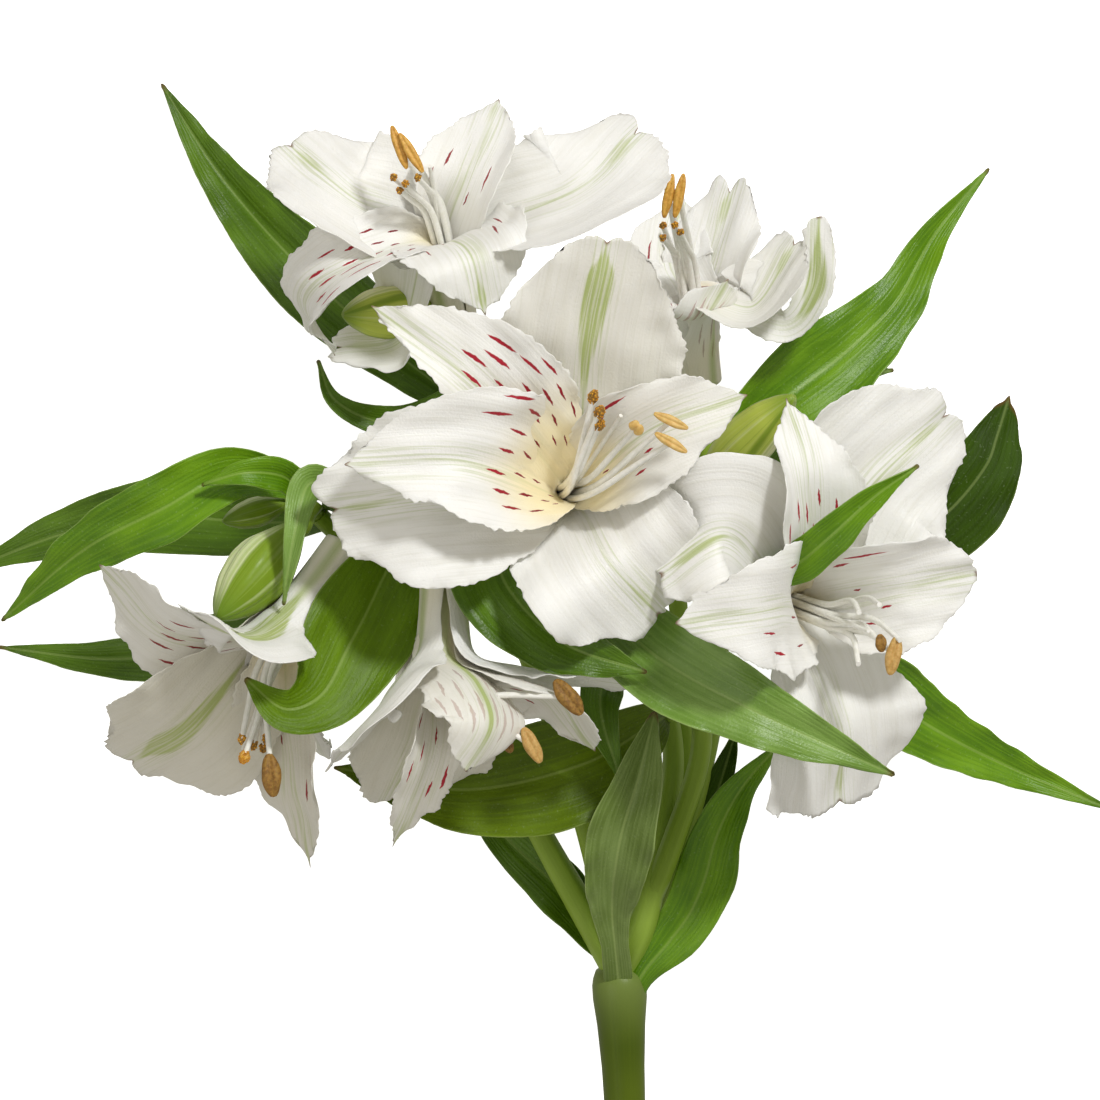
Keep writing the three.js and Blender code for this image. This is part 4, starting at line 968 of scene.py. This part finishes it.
# The patterns of stripes. Each stripe: its share across, its share along, its length, its width.
STRIPES = {
    "fan": [
        (-0.55, 0.66, 4.4, 0.6), (-0.5, 0.57, 3.6, 0.5), (0.9, 0.43, 2.6, 0.36), (0.65, 0.42, 2.6, 0.36),
        (0.4, 0.44, 2.6, 0.36), (0.1, 0.46, 2.6, 0.36), (-0.25, 0.45, 2.6, 0.36),
        (0.02, 0.72, 5, 0.65), (0.28, 0.75, 5.3, 0.72), (0.46, 0.71, 5.5, 0.72), (0.7, 0.73, 5.3, 0.68),
        (0.22, 0.65, 4.5, 0.61), (0.7, 0.65, 5, 0.65), (0.86, 0.62, 4.5, 0.61), (0.44, 0.6, 4.2, 0.58),
        (0.6, 0.56, 4.2, 0.58), (0.8, 0.55, 3.9, 0.54), (0.3, 0.53, 3.4, 0.47), (0.9, 0.49, 3.4, 0.47),
        (0.55, 0.49, 3.1, 0.43), (0.05, 0.58, 3.4, 0.47), (-0.25, 0.66, 3.9, 0.54), (-0.2, 0.53, 2.8, 0.4)],
    "low fan": [
        (0.7, 0.39, 2.2, 0.34), (0.3, 0.38, 2.2, 0.34), (-0.1, 0.38, 2.2, 0.34), (-0.5, 0.4, 2.2, 0.34),
        (0.9, 0.64, 5.3, 0.68), (0.66, 0.67, 5.3, 0.68), (0.78, 0.57, 4.8, 0.65), (0.5, 0.58, 4.8, 0.61),
        (0.25, 0.6, 4.5, 0.61), (-0.02, 0.61, 4.8, 0.65), (-0.3, 0.59, 4.8, 0.65), (-0.55, 0.56, 4.5, 0.61),
        (0.62, 0.5, 3.6, 0.5), (0.34, 0.51, 3.6, 0.5), (0.06, 0.52, 3.6, 0.5), (-0.25, 0.5, 3.6, 0.5),
        (-0.6, 0.48, 3.4, 0.47), (0.85, 0.48, 3.1, 0.43), (0.5, 0.44, 2.7, 0.36), (0.12, 0.44, 2.7, 0.36),
        (-0.35, 0.43, 2.5, 0.36)],
    "side": [
        (-0.8, 0.69, 5, 0.61), (-0.68, 0.62, 4.5, 0.58), (-0.1, 0.6, 2, 0.36), (0.27, 0.68, 2.5, 0.43),
        (0.5, 0.62, 2.8, 0.43), (0.1, 0.5, 1.8, 0.32)],
    "many": [
        (-0.62, 0.66, 5, 0.58), (-0.34, 0.71, 4.5, 0.54), (-0.08, 0.68, 4.8, 0.54), (0.2, 0.71, 4.2, 0.5),
        (0.46, 0.66, 4.5, 0.5), (-0.5, 0.58, 4.2, 0.5), (-0.2, 0.6, 4.2, 0.47), (0.08, 0.6, 3.9, 0.47),
        (0.34, 0.57, 4.2, 0.47), (-0.7, 0.52, 3.6, 0.47), (-0.34, 0.5, 3.6, 0.4), (-0.05, 0.52, 3.4, 0.4),
        (0.24, 0.49, 3.4, 0.4), (0.6, 0.5, 3.4, 0.43), (-0.5, 0.44, 2.8, 0.36), (0.05, 0.44, 2.7, 0.36),
        (0.45, 0.42, 2.7, 0.36), (-0.2, 0.4, 2.2, 0.32)],
    "some": [
        (-0.7, 0.68, 5, 0.5), (-0.4, 0.74, 4.2, 0.43), (0.62, 0.66, 4.5, 0.47), (0.3, 0.6, 3.6, 0.4),
        (-0.15, 0.55, 3.4, 0.4), (0.72, 0.52, 3.1, 0.4), (-0.6, 0.5, 3.1, 0.36), (0.1, 0.46, 2.5, 0.32)],
    "veined": [
        (-0.75, 0.68, 6, 0.58), (-0.55, 0.74, 7, 0.67), (-0.33, 0.78, 7, 0.67), (-0.14, 0.72, 6.5, 0.63),
        (0.14, 0.74, 7, 0.67), (0.34, 0.79, 7, 0.67), (0.56, 0.75, 7, 0.67), (0.76, 0.69, 6, 0.58),
        (-0.62, 0.58, 5, 0.53), (-0.38, 0.62, 5.5, 0.58), (0.2, 0.6, 5, 0.53), (0.42, 0.63, 5.5, 0.58),
        (0.66, 0.57, 5, 0.53), (-0.2, 0.54, 4, 0.48), (0.3, 0.5, 4, 0.48)],
    "tube": [
        (-0.6, 0.3, 4.5, 0.5), (-0.25, 0.33, 5.5, 0.5), (0.15, 0.32, 5.5, 0.5), (0.55, 0.3, 4.5, 0.5),
        (-0.45, 0.22, 4, 0.4), (0.4, 0.22, 4, 0.4), (0, 0.2, 4, 0.4)],
    "few": [(-0.5, 0.7, 4.5, 0.47), (-0.7, 0.6, 3.6, 0.4), (0.5, 0.66, 3.6, 0.4), (0.2, 0.58, 2.8, 0.36)],
}
# The pattern and colour of the stripes on the tepals that have them, by bloom and place.
STRIPED = {
    ("a", 1): ("fan", STRIPE_RED), ("a", 3): ("low fan", STRIPE_RED), ("a", 5): ("side", STRIPE_RED),
    ("b", 1): ("few", STRIPE_BROWN), ("b", 3): ("few", STRIPE_BROWN), ("b", 5): ("many", STRIPE_RED),
    ("c", 0): ("veined", STRIPE_BROWN), ("c", 1): ("tube", STRIPE_BROWN),
    ("c", 2): ("tube", STRIPE_BROWN), ("c", 4): ("few", STRIPE_BROWN),
    ("d", 1): ("many", STRIPE_RED), ("d", 3): ("some", STRIPE_RED), ("d", 5): ("side", STRIPE_RED),
    ("e", 1): ("many", STRIPE_BROWN), ("e", 3): ("few", STRIPE_BROWN), ("e", 5): ("few", STRIPE_BROWN),
    ("f", 0): ("veined", STRIPE_MAUVE), ("f", 2): ("some", STRIPE_RED), ("f", 4): ("few", STRIPE_BROWN),
}


INNER_CREAM = 0.55  # how far up a tepal the cream of the throat reaches
OUTER_CREAM = 0.42
LEAN_STEP = 0.02
SEED_SHIFT = 0.37


def stripe_marks(pattern, form, length):
    """Where each stripe of a pattern lies on a tepal, and how it leans with the veins there."""
    marks = []
    for v, t, long, wide in STRIPES[pattern]:
        x, y = (float(q) for q in outline(form, length, np.float64(t), np.float64(v)))
        x2, y2 = (float(q) for q in outline(form, length, np.float64(t + LEAN_STEP), np.float64(v)))
        marks.append((x, y, -math.atan2(x2 - x, y2 - y), long, wide))
    return marks


def make_tepal(letter, k, bloom, base, axis, claw):
    """A tepal: its claw stands on the receptacle's ring and its blade runs out to its tip."""
    kind, beyond, changes = bloom["tepals"][k]
    form = {**kind, **changes}
    tip = outwards(beyond[-1], base, axis)
    outer = kind is OUTER
    ring, flare = (OUTER_RING, OUTER_FLARE) if outer else (INNER_RING, INNER_FLARE)

    def on(height, radius, turn):
        return base + axis * height + unit(claw + (tip - claw) * turn) * radius

    throat = bloom["throat"]
    points = [on(SEAT_GAP + 0.2, ring, 0), on(0.5 * throat, ring + 0.25 * flare, 0.05),
              on(throat, ring + flare, 0.3), *beyond]
    claw_side, tip_side = np.cross(claw, axis), np.cross(tip, axis)

    def sideways(u, _):
        return claw_side + (tip_side - claw_side) * smooth(u, 0.1, 0.75)[:, None]

    seed = 100 * list(BLOOMS).index(letter) + 10 * k
    name = f"tepal_{letter}{k + 1}"
    mesh, length = blade(name, points, form, sideways, {**TEPAL_DETAIL, "seed": seed})
    marks, colour = [], STRIPE_RED
    if (letter, k) in STRIPED:
        pattern, colour = STRIPED[letter, k]
        marks = stripe_marks(pattern, form, length)
    cream = OUTER_CREAM if outer else bloom.get("cream", INNER_CREAM)
    finish = tepal_finish(
        name, marks, colour, cream, form["streak"], form["painted_shade"], seed * SEED_SHIFT)
    piece(name, mesh, [f"bloom_{letter}_tepals"], finish)


# ---------- stamens ----------
ANTHER_RINGS = 18
ANTHER_SIDES = 28
ANTHER_BEND = 0.5
ANTHER_FLATNESS = 0.78
FURROW_DEPTH = 0.5
FURROW_HALF = 0.32


def anther_mesh(name, centre, direction, length, wide, seed):
    """A two-lobed anther with a furrow down each face, a little bent."""
    rings, sides = ANTHER_RINGS, ANTHER_SIDES
    direction = unit(spot(direction))
    side = unit(np.cross(direction, UP + 0.01))
    face = np.cross(side, direction)
    points = []
    for i in range(rings + 1):
        s = i / rings
        body = math.sin(math.pi * (0.04 + 0.92 * s)) ** 0.55
        for k in range(sides):
            angle = 2 * math.pi * k / sides
            furrow = 1 - FURROW_DEPTH * math.exp(-((math.cos(angle) / FURROW_HALF) ** 2))
            lump = 1 + 0.05 * math.sin(3 * angle + 9 * s + seed)
            radius = wide * body * furrow * lump
            points.append(
                centre + direction * (s - 0.5) * length + face * ANTHER_BEND * (0.25 - (s - 0.5) ** 2)
                + side * radius * math.cos(angle) + face * radius * ANTHER_FLATNESS * math.sin(angle))
    half_way = direction * length * 0.52
    points += [centre - half_way, centre + half_way]
    faces = []
    for i in range(rings):
        for k in range(sides):
            a, b = i * sides + k, i * sides + (k + 1) % sides
            faces.append((a, b, b + sides, a + sides))
    first, last, top = len(points) - 2, len(points) - 1, rings * sides
    caps = [(first, (k + 1) % sides, k) for k in range(sides)]
    caps += [(last, top + k, top + (k + 1) % sides) for k in range(sides)]
    mesh = bpy.data.meshes.new(name)
    mesh.from_pydata([tuple(p * MM) for p in points], [], faces + caps)
    mesh.shade_smooth()
    return mesh


# Each kind of anther: its length, its half width, its finish, and its grains of pollen to the
# square metre.
ANTHERS = {
    "fresh": (5.9, 0.85, ANTHER_TAN, 0),
    "long": (7.4, 0.9, ANTHER_GOLDEN, 0),
    "disc": (2.5, 1.35, ANTHER_TAN, 0),
    "small": (2.9, 0.95, ANTHER_BROWN, 0),
    "tawny": (6.3, 1.3, ANTHER_TAWNY, 0),
    "brown": (7.0, 1.65, ANTHER_BROWN, 0),
    "lump": (2.7, 0.85, ANTHER_BROWN, 5e6),
    "crumb": (1.9, 0.6, ANTHER_BROWN, 5e6),
    "gold": (2.2, 0.9, ANTHER_GOLDEN, 12e6),
}


FILAMENT_TAPER = (1.1, 1.1, 1.05, 1, 0.8)
STYLE_RADII = [0.5, 0.46, 0.34]
GRAIN_RADIUS = 0.16


def make_stamens(letter, bloom, base, axis):
    """A bloom's six filaments with their anthers and pollen, and its style."""
    start = RECEPTACLE_TOP + SEAT_GAP + 0.1
    throat = bloom["throat"]
    first = unit(np.cross(axis, np.array([1.0, 0, 0])))
    second = np.cross(axis, first)

    def turn(entry):
        way = outwards(entry[0], base, axis)
        return math.atan2(way @ second, way @ first)

    def on(height, radius, spread):
        return base + axis * height + spread * radius

    ordered = sorted(bloom["stamens"], key=turn)
    spreads = even_directions([to for to, _, _ in ordered], base, axis)
    lines, anthers, pollen = [], [], []
    for k, ((to, kind, lie), spread) in enumerate(zip(ordered, spreads)):
        end = spot(to)
        beyond = on(1.35 * throat, 1.6, spread)
        beyond = beyond + (end - beyond) * 0.2
        bow = beyond + (end - beyond) * 0.5 + spot(bloom.get("arch", (0, 0, 0)))
        path = [on(start + 0.3, 1.05, spread), on(0.95 * throat, 1.4, spread), beyond, bow, end]
        lines.append(line(path, [FILAMENT_RADIUS * x for x in FILAMENT_TAPER], 1.2))
        if kind == "bare":
            continue
        way = lie if lie else Spine(path).way(np.array([1.0]))[0]
        length, wide, finish, density = ANTHERS[kind]
        body = anther_mesh("anther", end, way, length, wide, 10 * list(BLOOMS).index(letter) + k)
        body.materials.append(finish)
        if density:
            pollen.append(POLLEN.grow("pollen", body.copy(), {
                "Density": density, "Grain radius": GRAIN_RADIUS * MM, "Seed": k,
                "Material": POLLEN_GOLD}))
        anthers.append(body)
    style_path = [base + axis * (start + 0.3), base + axis * throat, bloom["style"]]
    lines.append(line(style_path, STYLE_RADII, 1.5))
    nodes = [f"bloom_{letter}_stamens"]
    threads = SWEEP.grow("filaments", lines_mesh("filament_lines", lines), {
        "Sides": 8, "Ridges": 3, "Ridge depth": 0.05, "Material": FILAMENT_WHITE})
    piece(f"filaments_{letter}", threads, nodes)
    piece(f"anthers_{letter}", joined("anthers", anthers), nodes)
    if pollen:
        piece(f"pollen_{letter}", joined("pollen", pollen), nodes)


# ---------- turned bodies: ovaries and buds ----------
OFF_AXIS = np.array([0.31, 0.2, 0.93])  # any direction that no body is turned about


def turned_mesh(name, base, axis, profile, rings, sides, relief):
    """A body turned about an axis. relief gives the factor of its radius and the height of its
    ribs, from the angle and the height."""
    side = unit(np.cross(axis, OFF_AXIS))
    face = np.cross(axis, side)
    h = np.linspace(0, 1, rings + 1)
    radius = np.interp(h, *zip(*profile))
    kernel = np.ones(5) / 5
    radius[2:-2] = np.convolve(radius, kernel, "valid")
    angle = np.linspace(0, 2 * math.pi, sides, endpoint=False)
    hh, aa = np.meshgrid(h, angle, indexing="ij")
    factor, rib = relief(aa, hh)
    rr = radius[:, None] * factor
    length = np.linalg.norm(axis)
    way = axis / length
    points = (base + way * (hh * length)[..., None] + side * (rr * np.cos(aa))[..., None]
              + face / length * (rr * np.sin(aa))[..., None]).reshape(-1, 3)
    index = np.arange(points.shape[0]).reshape(rings + 1, sides)
    a, b = index[:-1], np.roll(index, -1, axis=1)[:-1]
    c, d = np.roll(index, -1, axis=1)[1:], index[1:]
    quads = np.stack([a, b, c, d], -1).reshape(-1, 4)
    points = np.vstack([points, base, base + axis])
    n = len(points)
    caps = [(n - 2, int(index[0, (k + 1) % sides]), int(index[0, k])) for k in range(sides)]
    caps += [(n - 1, int(index[-1, k]), int(index[-1, (k + 1) % sides])) for k in range(sides)]
    mesh = bpy.data.meshes.new(name)
    mesh.from_pydata((points * MM).tolist(), [], quads.tolist() + caps)
    mesh.shade_smooth()
    share = np.stack([np.cos(aa), hh, rib], -1).reshape(-1, 3)
    keep(mesh, "share", np.vstack([share, [[0, 0, 0]], [[0, 1, 0]]]))
    around = np.stack([np.cos(aa), np.sin(aa), np.zeros_like(hh)], -1).reshape(-1, 3)
    keep(mesh, "around", np.vstack([around, np.zeros((2, 3))]))
    return mesh


def ovary_mesh(base, axis, scale, ribs):
    """A ribbed ovary, widest near its top, which lies at base."""
    length = OVARY_LENGTH * scale
    radius = OVARY_RADIUS * scale
    profile = [(0, 0.45 * radius), (0.12, 0.55 * radius), (0.35, 0.82 * radius), (0.6, radius),
               (0.85, 0.97 * radius), (1, 0.86 * radius)]

    def relief(angle, _):
        crest = np.abs(np.cos(ribs / 2 * angle)) ** 0.7
        return 0.84 + 0.16 * crest, crest

    return turned_mesh("ovary", base - axis * length, axis * length, profile, 16, 48, relief)


def make_bud(letter, entry):
    """A closed bud of three overlapping outer tepals, each with a rib."""
    base, tip = (spot(entry[k]) for k in ("base", "tip"))
    radius = entry["radius"]
    axis = tip - base
    profile = [(h, r * radius) for h, r in (
        (0, 0.42), (0.1, 0.62), (0.32, 0.95), (0.5, 1), (0.72, 0.82), (0.92, 0.42), (1, 0.12))]

    def relief(angle, height):
        swirl = angle + 0.5 * height
        step = (3 * swirl / (2 * math.pi)) % 1
        overlap = 0.06 * smooth(step, 0, 0.1) - 0.06 * smooth(step, 0.82, 1)
        rib = np.exp(-(((step - 0.5) / 0.09) ** 2))
        return 0.93 + overlap + 0.05 * rib, rib

    mesh = turned_mesh(f"bud_{letter}", base, axis, profile, 40, 96, relief)
    finish = BUD_GREEN if letter in "gh" else BUD_YELLOW_PAINTED_LIGHT
    piece(f"bud_shell_{letter}", mesh, [f"bud_{letter}"], finish)


# ---------- the stalks ----------
# Radii at evenly spaced places from each stalk's foot to its top.
RAY_RADII = [2.7, 2.0, 1.75, 1.7, 1.6, 1.5]
LEFT_RAY_RADII = [2.7, 1.9, 1.7, 1.6]
SIDE_RAY_RADII = [1.4, 1.5, 1.5]
BUD_STALK_RADII = [1.1, 1.05, 1.15]
STALK_STEP = 1.5

# The stem from its swollen head down: shares of its length, and the radius at each.
STEM_HEAD = spot(NODE) + spot([0, 1.4, 0.3])
STEM_SHARES = [0, 0.008, 0.02, 0.04, 0.07, 0.12, 0.2, 1]
STEM_RADII = [2.6, 4.1, 4.75, 4.7, 4.2, 3.75, 3.45, 3.35]
STEM_STEP = 1.2
FOOT_SINK = 0.4


def collar_point(first):
    """A ray's foot, sunk in the node, on the way to the ray's first point."""
    return spot(NODE) + unit(spot(first) - spot(NODE)) * FOOT_SINK


def make_stalks():
    """The rays and bud stalks with the ovaries they carry, and the stem."""
    lines, ovaries = [], []

    def carry(base, axis, path, radii, scale, ribs):
        foot = base - axis * (OVARY_LENGTH - 1) * scale
        below = base - axis * (OVARY_LENGTH + 2) * scale
        lines.append(line([*path, below, foot], radii, STALK_STEP))
        ovaries.append(ovary_mesh(base, axis, scale, ribs))

    def carry_bloom(letter, path, radii):
        bloom = BLOOMS[letter]
        carry(spot(bloom["base"]), unit(spot(bloom["facing"])), path, radii, 1, 6)

    for letter, via in RAYS.items():
        carry_bloom(letter, [collar_point(via[0]), *via], RAY_RADII)
    lines.append(line([collar_point(LEFT_RAY[0]), *LEFT_RAY], LEFT_RAY_RADII, STALK_STEP))
    carry_bloom("e", SIDE_RAY_E, SIDE_RAY_RADII)
    for entry in BUDS.values():
        base, tip = spot(entry["base"]), spot(entry["tip"])
        scale = 0.3 + 0.08 * entry["radius"]
        carry(base, unit(tip - base), entry["stalk"], BUD_STALK_RADII, scale, 3)
    rays = SWEEP.grow("rays", lines_mesh("ray_lines", lines), {
        "Sides": 24, "Ridges": 6, "Ridge depth": 0.035, "Material": RAY_GREEN_PAINTED_LIGHT})
    piece("rays", rays, ["stem"])
    piece("ovaries", joined("ovaries", ovaries), ["stem"], RAY_GREEN_PAINTED_LIGHT)
    places, share = line([STEM_HEAD, *STEM_PATH], [0, 1], STEM_STEP)
    radii = np.interp(share, STEM_SHARES, STEM_RADII)
    stem = SWEEP.grow("stem_stalk", lines_mesh("stem_line", [(places, radii)]), {
        "Sides": 48, "Ridges": 3, "Ridge depth": 0.01, "Material": STEM_GREEN})
    piece("stem_stalk", stem, ["stem"])


# ---------- leaves ----------
LEAF_FINISHES = {tone: leaf_finish(tone) for tone in LEAF_TONES}


def make_leaf(number, points, changes, tone):
    """A leaf blade along its points, its upper face turned as LEAF_FACES says."""
    first, last = (spot(p) for p in LEAF_FACES.get(number, (UP, UP)))

    def sideways(u, tangent):
        return np.cross(tangent, first + (last - first) * u[:, None])

    detail = {**LEAF_DETAIL, "seed": 1000 + int(number) * 7}
    mesh, _ = blade(f"leaf_blade_{number}", points, {**LEAF, **changes}, sideways, detail)
    piece(f"leaf_blade_{number}", mesh, [f"leaf_{number}"], LEAF_FINISHES[tone])


for letter, bloom in BLOOMS.items():
    base, axis = spot(bloom["base"]), unit(spot(bloom["facing"]))
    tips = [beyond[-1] for _, beyond, _ in bloom["tepals"]]
    for k, claw in enumerate(even_directions(tips, base, axis)):
        make_tepal(letter, k, bloom, base, axis, claw)
    make_stamens(letter, bloom, base, axis)
for letter, entry in BUDS.items():
    make_bud(letter, entry)
for number, (points, changes, tone) in LEAVES.items():
    make_leaf(number, points, changes, tone)
make_stalks()


# ---------- floor, light and camera ----------
FLOOR_SIDE = 4.0
FLOOR_GLOW = 0.85
LIT_PLACE = (0, 0.07, 0.05)
SKY_COLOUR = (1, 0.96, 0.87, 1)
SKY_STRENGTH = 0.46
FRAME_SIDE = 1100  # the picture's width in pixels
FOCAL_PIXELS = 5294
CAMERA_PLACE = (1.0, 70.2, 940.0)
SENSOR = 36.0
FARTHEST_VIEW = 10


def make_floor():
    """A plain pale floor to see the blooms against. It throws no light on them."""
    half = FLOOR_SIDE / 2
    mesh = mesh_from("floor", [(-half, -half, 0), (half, -half, 0), (half, half, 0), (-half, half, 0)],
                     [(0, 1, 2, 3)])
    floor = put("floor", mesh)
    f = Finish("pale_floor", 0.9, Base_Color=(0.9, 0.9, 0.9), Emission_Color=(1, 1, 1),
               Emission_Strength=FLOOR_GLOW)
    mesh.materials.append(f.material)
    floor.visible_diffuse = floor.visible_glossy = False


def make_lamp(name, place, size, watts, colour=(1, 1, 1)):
    """A soft round lamp aimed at the blooms."""
    lamp = bpy.data.lights.new(name, "AREA")
    lamp.shape, lamp.size, lamp.energy, lamp.color = "DISK", size, watts, colour
    made = put(name, lamp)
    made.location = place
    way = Vector(LIT_PLACE) - Vector(place)
    made.rotation_euler = way.to_track_quat("-Z", "Y").to_euler()


make_floor()
make_lamp("key", (0.5, 0.8, 1.15), 0.2, 12.5)
make_lamp("fill", (-0.9, -0.3, 1.2), 0.9, 2.5, (1, 0.97, 0.92))
sky = bpy.data.worlds.new("studio")
bpy.context.scene.world = sky
sky.use_nodes = True
sky.node_tree.nodes["Background"].inputs["Color"].default_value = SKY_COLOUR
sky.node_tree.nodes["Background"].inputs["Strength"].default_value = SKY_STRENGTH

lens = bpy.data.cameras.new("camera")
lens.sensor_width = SENSOR
lens.lens = SENSOR * FOCAL_PIXELS / FRAME_SIDE
lens.clip_end = FARTHEST_VIEW
camera = put("camera", lens)
camera.location = tuple(x * MM for x in CAMERA_PLACE)
bpy.context.scene.camera = camera
bpy.context.scene.view_settings.view_transform = "Standard"
